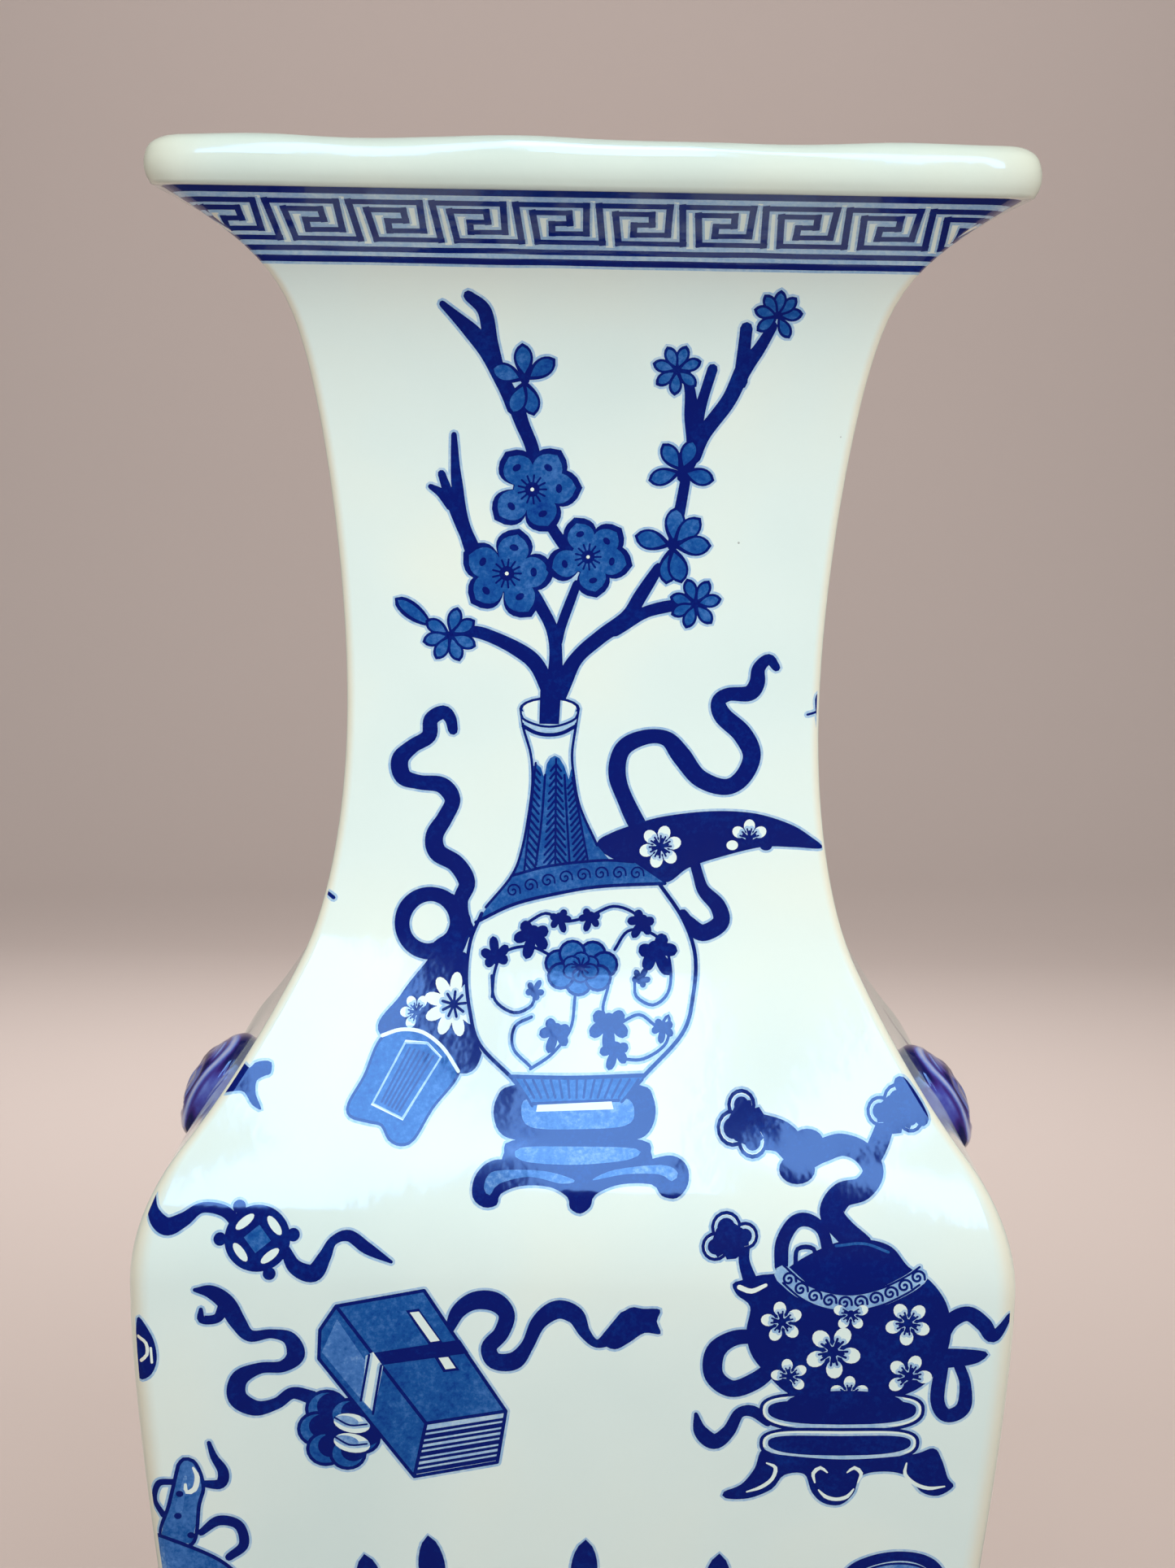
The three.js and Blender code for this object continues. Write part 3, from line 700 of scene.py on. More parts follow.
    # feet
    out += blob([(38.4, 202), (37, 198), (34.4, 194.6), (31, 193), (31.4, 191.6), (36, 191.6),
                 (40.6, 193.6), (43, 196.6), (47, 196.8), (48.6, 193), (51, 190.6), (54.4, 190.2),
                 (57, 192.6), (58.4, 196.4), (63, 197.4), (67.6, 196.4), (70.6, 193), (74, 192.2),
                 (77, 194.2), (75.8, 196), (74.4, 200), (72.6, 202.4), (68, 201), (55, 200), (42, 201)])
    for line in (((35.6, 193), (38.4, 194), (40.6, 195.8), (41.2, 198.2), (39.4, 199.2)),
                 ((49.2, 195), (48.8, 197), (50.2, 198.2), (51.6, 197.2)),
                 ((57.8, 195), (58.4, 197), (57, 198.2), (55.6, 197.2)),
                 ((50, 193.4), (51.4, 192), (53.6, 191.4), (55.8, 192), (57, 193.6)),
                 ((67.4, 199.2), (67.2, 196.8), (69.2, 194.8), (72, 193.8), (75.2, 194.2))):
        out += stroke(line, (0.3,) + (0.75,) * (len(line) - 2) + (0.3,), BARE)
    return out


def spray(x, z, turn, size, flip=False):
    """A flowering spray: a peony between long leaves on a short stem."""
    out = stroke([(0, 0), (1, 8), (0, 18)], (2.4, 2, 1.6))
    for px, pz, a, length, width in ((0.5, 3, 35, 24, 7), (0, 2, 150, 26, 7.5), (0.6, 9, 62, 26, 7),
                                     (0.4, 8, 122, 25, 6.5), (0, 1, 8, 18, 6), (0, 1, 178, 18, 6)):
        out += petal(px, pz, a, length, width, DARK, 0.8)
        out += petal(px, pz, a, length - 1.6, width - 2, MID, 0.8, start=0.1)
        out += stroke([polar(px, pz, 2, a), polar(px, pz, length - 4, a)], (0.7, 0.3))
    out += plum_flower(0, 22, 9.5, (30, 102, 174, 246, 318))
    return place(out, x, z, turn, size, flip)


def rosette(x, z, r):
    """A full flower for the middle of the lower body."""
    out = []
    for count, reach, turn in ((10, 1.0, 0), (8, 0.76, 22), (6, 0.52, 5)):
        for k in range(count):
            a = turn + 360 * k / count
            out += petal(x, z, a, reach * r, reach * r * 0.66, DARK, 0.32)
            out += petal(x, z, a, reach * r - 0.8, reach * r * 0.66 - 1.3, MID, 0.32)
    out += ellipse(x, z, 0.24 * r, 0.24 * r) + star(x, z, 0.06 * r, 0.2 * r, 9, 0.4, BARE)
    return out


def scroll_border(z, pitch):
    """A running scroll with leaves."""
    out = []
    for k in range(-6, 7):
        x, up = k * pitch, 1 if k % 2 else -1
        out += stroke([(x - pitch / 2, z), (x - pitch / 4, z + 2.6 * up), (x + pitch / 4, z + 2.2 * up),
                       (x + pitch / 2, z)], 0.8)
        out += spiral(x, z - 0.2 * up, 2.3, 0.6, 1.2, 90 * up, up)
        out += vine_leaf(x + pitch * 0.3, z + 2.4 * up, 60 * up, 3.0)
    return out


def lower_body():
    """What the photo does not show: a spray of flowers, leaves and a plain foot border."""
    out = []
    for x, z, turn, flip in ((-37, 136, 4, False), (36, 134, -6, True)):
        out += spray(x, z, turn, 0.98, flip)
    out += stroke([(-37, 138), (-30, 128), (-16, 120), (0, 114), (18, 119), (35, 134)],
                  (2, 2.6, 3, 3.4, 3, 2))
    out += stroke([(0, 118), (2, 106), (-2, 92), (1, 80)], (3.4, 3, 3, 3.4))
    out += stroke([(0, 104), (-14, 98), (-28, 101), (-38, 111)], (2.6, 2.2, 2, 1.4))
    out += stroke([(1, 96), (16, 90), (30, 94), (40, 104)], (2.6, 2.2, 2, 1.4))
    for x, z, a, n in ((-16, 127, 200, 13), (17, 125, -25, 13), (-22, 99, 240, 12), (22, 91, 300, 12),
                       (-8, 121, 110, 14), (9, 120, 60, 14), (-33, 104, 160, 12), (35, 98, 20, 12),
                       (0, 84, 200, 12), (1, 82, -15, 12)):
        out += petal(x, z, a, n, 5.2, DARK, 0.7) + petal(x, z, a, n - 1.4, 3.6, MID, 0.7, start=0.1)
    out += rosette(0, 138, 13)
    out += plum_flower(-40, 114, 7.5, (10, 82, 154, 226, 298))
    out += plum_flower(42, 107, 7.5, (40, 112, 184, 256, 328))
    out += small_flower(-52, 142, 6, (20, 80, 140, 200, 280))
    out += small_flower(51, 138, 6, (0, 60, 120, 220, 300))
    # rocks
    out += outlined([(-24, 66), (-22, 76), (-14, 80), (-8, 88), (0, 84), (8, 90), (13, 80), (22, 77),
                     (25, 66), (12, 62), (-12, 62)], 0.8, MID)
    for line in (((-16, 66), (-13, 74), (-8, 80)), ((-4, 66), (-3, 76), (0, 81)),
                 ((8, 66), (10, 74), (9, 82)), ((17, 66), (18, 72))):
        out += stroke(line, (1.6, 1.1, 0.5)[:len(line)])
    # border above the foot
    out += level_line(46, 45) + level_line(24, 22.6)
    out += scroll_border(35, 15)
    return out


def leaf_tips():
    """The leaf tips that show at the bottom of the photo, and the arc on the right."""
    out = []
    for x, z, a in ((-38.6, 165, 100), (-26.4, 168, 97), (3, 168, 88), (30, 165, 88)):
        out += petal(x, z, a, 14.6 + (a == 97), 5.4, DARK, 0.7)
    out += stroke([(54, 170), (58, 176.4), (66, 179), (73, 177.4), (77.4, 171)], 2.2)
    out += outlined([(55, 168), (59, 175), (66, 177.4), (72.6, 175.8), (76, 169), (66, 161)], 0.5, WASH)
    return out


def wraps():
    """Ends of the neighbouring sides' ribbons that come over the corners."""
    out = blob([(-86.6, 229.4), (-83.4, 226), (-82.4, 221), (-84, 217.4), (-87, 217.6)])
    out += stroke([(-86.4, 225.6), (-84.6, 224.4), (-84.4, 222), (-85.8, 220.6)], 0.7, BARE)
    out += stroke([(-83.6, 223.4), (-83.4, 220.4)], 0.5, BARE)
    out += stroke([(-53.8, 308.4), (-52.6, 309.4), (-50.9, 308.4)], 0.8)
    out += stroke([(49.4, 350.6), (48.2, 349), (49.3, 343)], 0.6)
    out += stroke([(48.6, 346.6), (46.4, 346)], 0.5)
    out += blob([(64.4, 273), (66.4, 274), (69.6, 270), (71.2, 266.4), (69.4, 265.2), (66.6, 268.6)])
    out += blob([(-75, 273.4), (-70.6, 275.2), (-68.1, 276.8), (-66.4, 275.9), (-65.4, 276.8),
                 (-63.7, 277.2),
                 (-62, 276.9), (-62, 274.9), (-63, 274.5), (-64.4, 273.9), (-64.9, 273), (-64.7, 271),
                 (-63.4, 268.4), (-65.4, 269.3), (-67.1, 271.5), (-69.2, 271.7), (-74, 271)])
    return out


def bled(shapes):
    """Each dark shape preceded by its soft bleed, a thin rim of strength BLEED."""
    out = []
    for shape, tone in shapes:
        shape = without_repeats(shape, 0.05)
        if tone > MID - 0.01 and len(shape) > 2:
            ahead, behind = np.roll(shape, -1, axis=0), np.roll(shape, 1, axis=0)
            area = (shape[:, 0] * ahead[:, 1] - ahead[:, 0] * shape[:, 1]).sum()
            run = ahead - behind
            run /= np.linalg.norm(run, axis=1)[:, None] + 1e-9
            out.append((shape + np.c_[run[:, 1], -run[:, 0]] * np.sign(area) * BLEED_WIDTH, -BLEED))
        out.append((shape, tone))
    return out


def picture(side):
    """All the painting of one side, in painting order."""
    if side == "front":
        return (key_band() + pouch() + horn() + plum_branches() + bottle() + coin() + book()
                + clappers() + censer() + leaf_tips() + lower_body() + wraps())
    if side == "back":
        motifs = (place(plum_branches(), flip=True) + place(pouch(), flip=True)
                  + place(horn(), flip=True) + place(bottle(), flip=True)
                  + place(book(), -20, 2) + place(censer(), 0, 0, flip=True) + place(coin(), 118, 4))
    elif side == "right":
        motifs = (place(plum_branches(), 6, 26, size=0.94) + place(spray(0, 0, 0, 1.1), -2, 322)
                  + place(coin(), 118, 0) + place(horn(), 0, -90) + place(clappers(), 8, 42)
                  + place(book(), 34, -8))
    else:
        motifs = (place(plum_branches(), -4, 24, size=0.94, flip=True) + place(spray(0, 0, 0, 1.1), 4, 320)
                  + place(coin(), 10, -2) + place(censer(), -8, -8) + place(pouch(), -12, -92)
                  + place(horn(), 6, -96, flip=True))
    return key_band() + motifs + lower_body()


# ---------------------------------------------------------------- panels
def winding(loop, points):
    """True for the points that a closed loop goes round."""
    a, b = loop, np.roll(loop, -1, axis=0)
    x, z = points[:, :1], points[:, 1:]
    cross = (b[:, 0] - a[:, 0]) * (z - a[:, 1]) - (x - a[:, 0]) * (b[:, 1] - a[:, 1])
    up = (a[:, 1] <= z) & (b[:, 1] > z) & (cross > 0)
    down = (a[:, 1] > z) & (b[:, 1] <= z) & (cross < 0)
    return (up.sum(axis=1) - down.sum(axis=1)) != 0


def triangulate(points, edges, middle):
    """Delaunay triangles that keep the edges; also which input points each output point is."""
    level = [Vector((x, z - middle)) for x, z in points]
    coords, _, faces, sources, *_ = geometry.delaunay_2d_cdt(level, edges, [], 0, 1e-4)
    return np.array([tuple(v) for v in coords]) + (0, middle), np.array([tuple(f) for f in faces]), sources


def without_repeats(shape, gap):
    """The outline without points that lie on the one before."""
    return shape[np.hypot(*(shape - np.roll(shape, 1, axis=0)).T) > gap]


def cobalt_strength(centres, shapes):
    """The strength at each face's centre: later shapes cover earlier ones, and a bleed covers nothing."""
    tones = np.zeros(len(centres))
    for shape, tone in shapes:
        low, high = shape.min(axis=0), shape.max(axis=0)
        near = np.nonzero(((centres >= low) & (centres <= high)).all(axis=1))[0]
        for part in np.array_split(near, max(1, len(near) // 4000)):
            if len(part):
                hit = part[winding(shape, centres[part])]
                tones[hit] = np.maximum(tones[hit], -tone) if tone < 0 else tone
    return tones


def border(triangles):
    """The vertices round the edge of a sheet of triangles, in order."""
    directed = dict.fromkeys((p, q) for a, b, c in triangles for p, q in ((a, b), (b, c), (c, a)))
    follow = {p: q for p, q in directed if (q, p) not in directed}
    loop = [next(iter(follow))]
    while follow[loop[-1]] != loop[0]:
        loop.append(follow[loop[-1]])
    return np.array(loop)


class Slab:
    """One side's slab between two heights, laid out flat: x across and z up, like its painting."""

    def __init__(self, profile, top, bottom, step, inner):
        self.profile, self.top, self.bottom = profile, top, bottom
        self.middle = (top + bottom) / 2
        self.levels = profile.levels(top, bottom, step)
        self.widths = profile.at(self.levels, profile.w)
        self.radii = corner_radius(self.levels)
        self.limits = self.widths - self.radii + self.radii * CORNER_TURN
        share = profile.at(self.levels, profile.arc)
        self.share = (share - share[0]) / (share[-1] - share[0])
        self.inner = np.array(inner, float)
        inner_arc = np.r_[0, np.cumsum(np.hypot(*np.diff(self.inner, axis=0).T))]
        self.inner_share = inner_arc / inner_arc[-1]

    def at(self, z, values):
        return np.interp(-z, -self.levels, values)

    def grid(self):
        """Rows of points across the slab with the edges along them, and up its two rounded corners."""
        flats = self.widths - self.radii
        steps = int(2 * flats.max() / GRID_STEP)
        points, edges, previous = [], [], None
        for z, flat, radius in zip(self.levels, flats, self.radii):
            arcs = [flat + radius * CORNER_TURN * k / 3 for k in range(4)]
            xs = [-a for a in arcs[::-1]] + list(np.linspace(-flat, flat, steps + 1)[1:-1]) + arcs
            start = len(points)
            points += [(x, z) for x in xs]
            edges += [(start + k, start + k + 1) for k in range(len(xs) - 1)]
            if previous is not None:
                edges += [(previous + k, start + k) for k in (*range(4), *range(len(xs) - 4, len(xs)))]
            previous = start
        return points, edges

    def within(self, coords, faces):
        """The faces that lie on the slab, not past its edges."""
        centre = coords[faces].mean(axis=1)
        level = (centre[:, 1] < self.top) & (centre[:, 1] > self.bottom)
        return faces[level & (np.abs(centre[:, 0]) < self.at(centre[:, 1], self.limits))]

    def skin(self, coords):
        """The outer skin's places, normals and closeness to the corner."""
        u, z = coords.T
        w, r = self.at(z, self.widths), self.at(z, self.radii)
        flat = w - r
        angle = np.clip((np.abs(u) - flat) / r, 0, CORNER_TURN)
        sign, curved = np.sign(u), np.abs(u) > flat
        x = np.where(curved, sign * (flat + r * np.sin(angle)), u)
        y = np.where(curved, -flat - r * np.cos(angle), -w)
        nw, nz = self.profile.at(z, self.profile.nw), self.profile.at(z, self.profile.nz)
        normal = np.c_[nw * np.sin(angle) * sign, -nw * np.cos(angle), nz]
        return np.c_[x, y, z], normal, smoothstep(np.abs(u), flat - 0.2, flat + r * 0.75)

    def lining(self, coords):
        """The inner skin's places and normals, behind the same points."""
        u, z = coords.T
        share = self.at(z, self.share)
        w, height = (np.interp(share, self.inner_share, line) for line in self.inner.T)
        across = np.clip(u / self.at(z, self.limits), -1, 1)
        nw, nz = self.profile.at(z, self.profile.nw), self.profile.at(z, self.profile.nz)
        return np.c_[across * w, -w, height], np.c_[0 * u, nw, -nz]


def panel(name, node, side, profile, top, bottom, step, inner, shapes, materials):
    """A closed slab of one side between two heights, with the painting cut into its outer skin."""
    slab = Slab(profile, top, bottom, step, inner)
    points, edges = slab.grid()
    kept = []
    for shape, tone in shapes:
        if shape[:, 1].max() >= bottom and shape[:, 1].min() <= top:
            shape = without_repeats(shape, 0.02)
            if len(shape) > 2:
                start = len(points)
                points += [(x, z) for x, z in shape]
                edges += [(start + k, start + (k + 1) % len(shape)) for k in range(len(shape))]
                kept.append((shape, tone))
    outer, triangles, _ = triangulate(points, edges, slab.middle)
    triangles = slab.within(outer, triangles)
    used = np.unique(triangles)
    outer, triangles = outer[used], np.searchsorted(used, triangles)
    tones = cobalt_strength(outer[triangles].mean(axis=1), kept)

    loop = border(triangles)
    rim = outer[loop]
    rim_edges = [(k, (k + 1) % len(rim)) for k in range(len(rim))]
    points = [(x, z) for x, z in rim]
    for z, limit in zip(slab.levels[1:-1], slab.limits[1:-1]):
        rim_edges.append((len(points), len(points) + 1))
        points += [(-limit, z), (limit, z)]
    back, back_triangles, origin = triangulate(points, rim_edges, slab.middle)
    back_triangles = slab.within(back, back_triangles) + len(outer)
    at_rim = {source: len(outer) + k for k, sources in enumerate(origin) for source in sources}

    outer_xyz, outer_normal, corner = slab.skin(outer)
    back_xyz, back_normal = slab.lining(back)
    turn = np.array(Matrix.Rotation(math.pi / 2 * SIDES.index(side), 3, "Z"))
    verts = np.vstack([outer_xyz, back_xyz]) @ turn.T * MM
    normals = np.vstack([outer_normal, back_normal]) @ turn.T
    skins = [*triangles.tolist(), *back_triangles[:, ::-1].tolist()]
    edge_faces = [(int(loop[n]), int(loop[k]), at_rim[k], at_rim[n]) for k, n in rim_edges[:len(loop)]]
    piece = finish_piece(name, verts.tolist(), skins + edge_faces, materials, node,
                         attributes=(("edge", np.r_[corner, np.zeros(len(back))]),))
    mesh = piece.data
    cobalt = mesh.attributes.new("cobalt", "FLOAT", "FACE")
    cobalt.data.foreach_set("value", np.r_[tones, np.zeros(len(mesh.polygons) - len(tones))])
    flat_normals = np.array([p.normal[:] for p in mesh.polygons])
    if len(materials) > 1:
        mesh.polygons.foreach_set("material_index", (flat_normals[:, 2] < -0.9).astype(int))
    mesh.normals_split_custom_set([normals[v] for face in skins for v in face]
                                  + [n for n in flat_normals[len(skins):] for _ in range(4)])


def new_object(name, verts, faces, materials):
    mesh = bpy.data.meshes.new(name)
    mesh.from_pydata(verts, [], faces)
    for material in materials:
        mesh.materials.append(material)
    mesh.polygons.foreach_set("use_smooth", [True] * len(faces))
    made = bpy.data.objects.new(name, mesh)
    bpy.context.collection.objects.link(made)
    return made


def finish_piece(name, verts, faces, materials, node, indices=None, attributes=()):
    """A piece of the vase that stands for a CAD node, with its values for the shaders."""
    piece = new_object(name, verts, faces, materials)
    if indices is not None:
        piece.data.polygons.foreach_set("material_index", indices)
    for key, values in attributes:
        piece.data.attributes.new(key, "FLOAT", "POINT").data.foreach_set("value", values)
    piece.data.update()
    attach(piece, "root")
    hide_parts(node)
    return piece


# ---------------------------------------------------------------- materials
def srgb(r, g, b):
    def linear(v):
        v /= 255
        return v / 12.92 if v <= 0.04045 else ((v + 0.055) / 1.055) ** 2.4

    return linear(r), linear(g), linear(b), 1.0


class Shader:
    """A material's node tree with short ways to add and link nodes."""

    def __init__(self, name):
        self.material = bpy.data.materials.new(name)
        self.material.use_nodes = True
        self.nodes = self.material.node_tree.nodes
        self.links = self.material.node_tree.links
        self.shader = self.nodes["Principled BSDF"]
        self.place = self.nodes.new("ShaderNodeTexCoord").outputs["Object"]

    def node(self, kind, inputs=(), **settings):
        node = self.nodes.new("ShaderNode" + kind)
        for key, value in settings.items():
            setattr(node, key, value)
        for key, value in dict(inputs).items():
            if isinstance(value, bpy.types.NodeSocket):
                self.links.new(value, node.inputs[key])
            else:
                node.inputs[key].default_value = value
        return node

    def noise(self, scale, detail=3.0, roughness=0.5):
        values = {"Vector": self.place, "Scale": scale, "Detail": detail, "Roughness": roughness}
        return self.node("TexNoise", values).outputs["Fac"]

    def math(self, operation, a, b=0.0, clamp=False):
        node = self.node("Math", {0: a, 1: b}, operation=operation, use_clamp=clamp)
        return node.outputs[0]

    def ramp(self, factor, stops):
        node = self.node("ValToRGB", {"Fac": factor})
        while len(node.color_ramp.elements) < len(stops):
            node.color_ramp.elements.new(0.5)
        for element, (position, colour) in zip(node.color_ramp.elements, stops):
            element.position, element.color = position, colour
        return node.outputs["Color"]

    def mix(self, factor, a, b, blend="MIX"):
        node = self.node("Mix", {0: factor, 6: a, 7: b}, data_type="RGBA", blend_type=blend)
        return node.outputs[2]

    def attribute(self, name):
        return self.node("Attribute", attribute_name=name).outputs["Fac"]

    def bump(self, strength, distance, height, normal=None):
        values = {"Strength": strength, "Distance": distance, "Height": height}
        if normal is not None:
            values["Normal"] = normal
        return self.node("Bump", values).outputs["Normal"]

    def set(self, **values):
        for key, value in values.items():
            socket = self.shader.inputs[key.replace("_", " ")]
            if isinstance(value, bpy.types.NodeSocket):
                self.links.new(value, socket)
            else:
                socket.default_value = value
        return self.material


def glaze_material(name, tone):
    """Clear glaze over white porcelain with underglaze cobalt."""
    s = Shader(name)
    cobalt = s.attribute("cobalt")
    # mottled wash: the middle strengths vary most
    mottle = s.math("SUBTRACT", s.noise(900, 4, 0.7), 0.5)
    body = s.math("MULTIPLY", cobalt, s.math("SUBTRACT", 1.25, cobalt))
    strength = s.math("ADD", cobalt, s.math("MULTIPLY", mottle, s.math("MULTIPLY", body, 1.5)))
    brushed = s.math("MULTIPLY", s.math("SUBTRACT", s.noise(130, 3), 0.5), s.math("MULTIPLY", body, 1.1))
    strength = s.math("ADD", strength, brushed, clamp=True)
    tint = s.ramp(s.noise(18, 2), (
        (0.3, srgb(217, 232, 229)), (0.5, srgb(223, 236, 232)), (0.7, srgb(230, 238, 229))))
    cream = s.mix(s.math("MULTIPLY", s.attribute("edge"), 0.6), tint, srgb(232, 220, 196))
    # a few iron specks in the glaze
    specks = s.node("TexVoronoi", {"Vector": s.place, "Scale": 55.0}, feature="F1")
    near = s.math("LESS_THAN", specks.outputs["Distance"], 0.013)
    lot = s.node("SeparateColor", {"Color": specks.outputs["Color"]}).outputs[0]
    chosen = s.math("GREATER_THAN", lot, 0.66)
    speck = s.math("MULTIPLY", s.math("MULTIPLY", near, chosen), 0.55)
    # tone multiplies the porcelain colour: painted shade, darker on the lip's copy of this glaze
    porcelain = s.mix(1.0, s.mix(speck, cream, srgb(96, 92, 88)), tone, "MULTIPLY")
    ink = s.ramp(strength, (
        (0.0, srgb(223, 236, 232)), (0.2, srgb(150, 184, 218)), (0.42, srgb(70, 118, 186)),
        (0.62, srgb(22, 82, 154)), (0.82, srgb(0, 46, 132)), (1.0, srgb(0, 18, 104))))
    painted = s.math("GREATER_THAN", cobalt, 0.02)
    colour = s.mix(painted, porcelain, ink)
    ripple = s.bump(0.2, 0.0012, s.noise(22, 2))
    skin = s.bump(0.12, 0.00025, s.noise(260, 2), ripple)
    return s.set(Base_Color=colour, Roughness=0.07, IOR=1.5, Normal=skin)


def biscuit_material():
    """The bare fired clay under the foot and the base."""
    s = Shader("unglazed_biscuit")
    grain = s.noise(700, 5, 0.7)
    colour = s.ramp(grain, (
        (0.35, srgb(205, 190, 165)), (0.6, srgb(226, 214, 192)), (0.75, srgb(190, 160, 128))))
    return s.set(Base_Color=colour, Roughness=0.82, Normal=s.bump(0.35, 0.0003, grain))


def blue_glaze_material():
    """The handles' glaze: blue and violet with dark lines in the hollows."""
    s = Shader("blue_handle_glaze")
    cobalt = s.attribute("cobalt")
    cloud = s.math("SUBTRACT", s.noise(160, 4, 0.65), 0.5)
    varied = s.math("ADD", cobalt, s.math("MULTIPLY", cloud, 0.5), clamp=True)
    colour = s.ramp(varied, (
        (0.0, srgb(176, 178, 210)), (0.3, srgb(112, 134, 204)), (0.55, srgb(70, 72, 160)),
        (0.78, srgb(58, 36, 118)), (1.0, srgb(14, 14, 84))))
    return s.set(Base_Color=colour, Roughness=0.08, IOR=1.5, Normal=s.bump(0.2, 0.0004, s.noise(120, 3)),
                 Coat_Weight=0.5, Coat_Roughness=0.05)


def paper_material(name, colour, roughness):
    """Plain paper with a faint cloudiness."""
    s = Shader(name)
    darker = (*(0.8 * part for part in colour[:3]), 1)
    shade = s.mix(s.math("MULTIPLY", s.noise(3, 2), 0.1), colour, darker)
    return s.set(Base_Color=shade, Roughness=roughness)


glaze = glaze_material("glaze_over_porcelain", (1.0, 1.0, 1.0, 1.0))
# the lip's copy of the glaze is darkened as painted shade
lip_glaze_painted_shade = glaze_material("glaze_over_lip_painted_shade", (0.84, 0.83, 0.79, 1.0))
biscuit = biscuit_material()
blue_glaze = blue_glaze_material()

# ---------------------------------------------------------------- the walls
def inner_line(top, bottom):
    """The inside of the wall between two heights, as half widths and heights."""
    line = np.c_[wall.w - WALL * wall.nw, wall.z - WALL * wall.nz]
    line = line[(wall.z <= top) & (wall.z >= bottom)]
    if top == LIP_UNDERSIDE:
        line = np.vstack([(MOUTH_HALF, top), line[line[:, 1] < top - 0.3]])
    if bottom == BASE_TOP:
        line = np.vstack([line[line[:, 1] > bottom + 0.5], (BASE_HALF - WALL, bottom)])
    return line


def climbing(shapes):
    """The painting below the key band, a little higher to the right."""
    out = []
    for shape, tone in shapes:
        rise = FRONT_CLIMB * shape[:, 0] * (shape[:, 1] < KEY_BAND_FOOT)
        out.append((shape + np.c_[0 * rise, rise], tone))
    return out


def walls():
    """Every side's neck, shoulder, body and foot."""
    bands = (("neck", LIP_UNDERSIDE, NECK_BASE_Z, 3.0), ("shoulder", NECK_BASE_Z, BODY_TOP_Z, 2.4),
             ("body", BODY_TOP_Z, BASE_TOP, 7.0))
    foot_line = level_line(12.4, 11.2)
    for side in SIDES:
        painting = bled(picture(side))
        if side == "front":
            painting = climbing(painting)
        for band, top, bottom, step in bands:
            panel(f"{band}_{side}", f"{band}_wall_{side}", side, wall, top, bottom, step,
                  inner_line(top, bottom), painting, (glaze,))
        panel(f"foot_{side}", f"foot_strip_{side}", side, foot, FOOT_TOP, 0.0, 1.5,
              FOOT_INNER, foot_line, (glaze, biscuit))


def square_path(half, centre, flat_steps, arc_steps):
    """Points anticlockwise round a square with rounded corners, from the front left."""
    radius = half - centre
    out = []
    for k in range(4):
        c, s = math.cos(math.pi / 2 * k), math.sin(math.pi / 2 * k)
        for t in np.linspace(-1, 1, flat_steps + 1):
            out.append((centre * t * c + half * s, centre * t * s - half * c))
        for a in np.linspace(0, math.pi / 2, arc_steps + 1)[1:-1]:
            x, y = centre + radius * math.sin(a), -centre - radius * math.cos(a)
            out.append((x * c - y * s, x * s + y * c))
    return out


def band_faces(low, high, count):
    """Faces between two rings of vertices, which start at low and high."""
    return [(low + k, low + (k + 1) % count, high + (k + 1) % count, high + k) for k in range(count)]


def lip():
    """The rolled lip, a little uneven, as hand finished."""
    section = smooth(LIP_SECTION, closed=True, step=1.1)
    section[:, 1] = np.clip(section[:, 1], LIP_UNDERSIDE, HEIGHT)
    verts = []
    edge = []
    for half, z in section:
        centre = min(LIP_CORNER_CENTRE, half - 1)
        lift = (z - LIP_UNDERSIDE) / (HEIGHT - LIP_UNDERSIDE)
        for x, y in square_path(half, centre, 44, 10):
            wave = 1.1 * noise.noise(Vector((x / 30, y / 30, 4.0)))
            swell = 1 + 0.006 * noise.noise(Vector((x / 30, y / 30, 11.0 + z / 30)))
            verts.append((x * swell * MM, y * swell * MM, (z + lift * (wave - 0.35)) * MM))
            edge.append(0.5 * smoothstep(min(abs(x), abs(y)), 70, 84))
    count = len(verts) // len(section)
    faces = []
    for i in range(len(section)):
        faces += band_faces(i * count, (i + 1) % len(section) * count, count)
    # the lip wears the copy of the glaze darkened as painted shade
    finish_piece("lip", verts, faces, (lip_glaze_painted_shade,), "lip_rim",
                 attributes=(("edge", edge), ("cobalt", [0.0] * len(verts))))


def base():
    """The floor of the vase, with its edge flush between the body and the foot."""
    loop = square_path(BASE_HALF, BASE_HALF - BODY_CORNER, 12, 6)
    count = len(loop)
    verts, faces, indices = [], [], []
    rings = ((1.0, BASE_TOP), (0.9, BASE_TOP), (0.5, BASE_TOP - 0.8), (0.12, BASE_TOP - 1.2),
             (0.12, FOOT_TOP), (0.5, FOOT_TOP), (0.9, FOOT_TOP), (1.0, FOOT_TOP))
    for share, z in rings:
        verts += [(x * share * MM, y * share * MM, z * MM) for x, y in loop]
    for i in range(len(rings)):
        if i == 3:
            faces.append(tuple(i * count + k for k in range(count)))
            faces.append(tuple((i + 1) * count + k for k in reversed(range(count))))
            indices += [0, 1]
            continue
        faces += band_faces(i * count, (i + 1) % len(rings) * count, count)
        indices += [1 if 3 < i < 7 else 0] * count
    piece = finish_piece("base", verts, faces, (glaze, biscuit), "base_slab", indices=indices,
                         attributes=(("edge", [0.0] * len(verts)), ("cobalt", [0.0] * len(verts))))
    piece.data.set_sharp_from_angle(angle=math.radians(40))


HANDLE_Z = 256.0
HANDLE_LENGTH = 27.0
HANDLE_WIDTH = 25.0
HANDLE_RELIEF = 5.2
HANDLE_SINK = 0.8


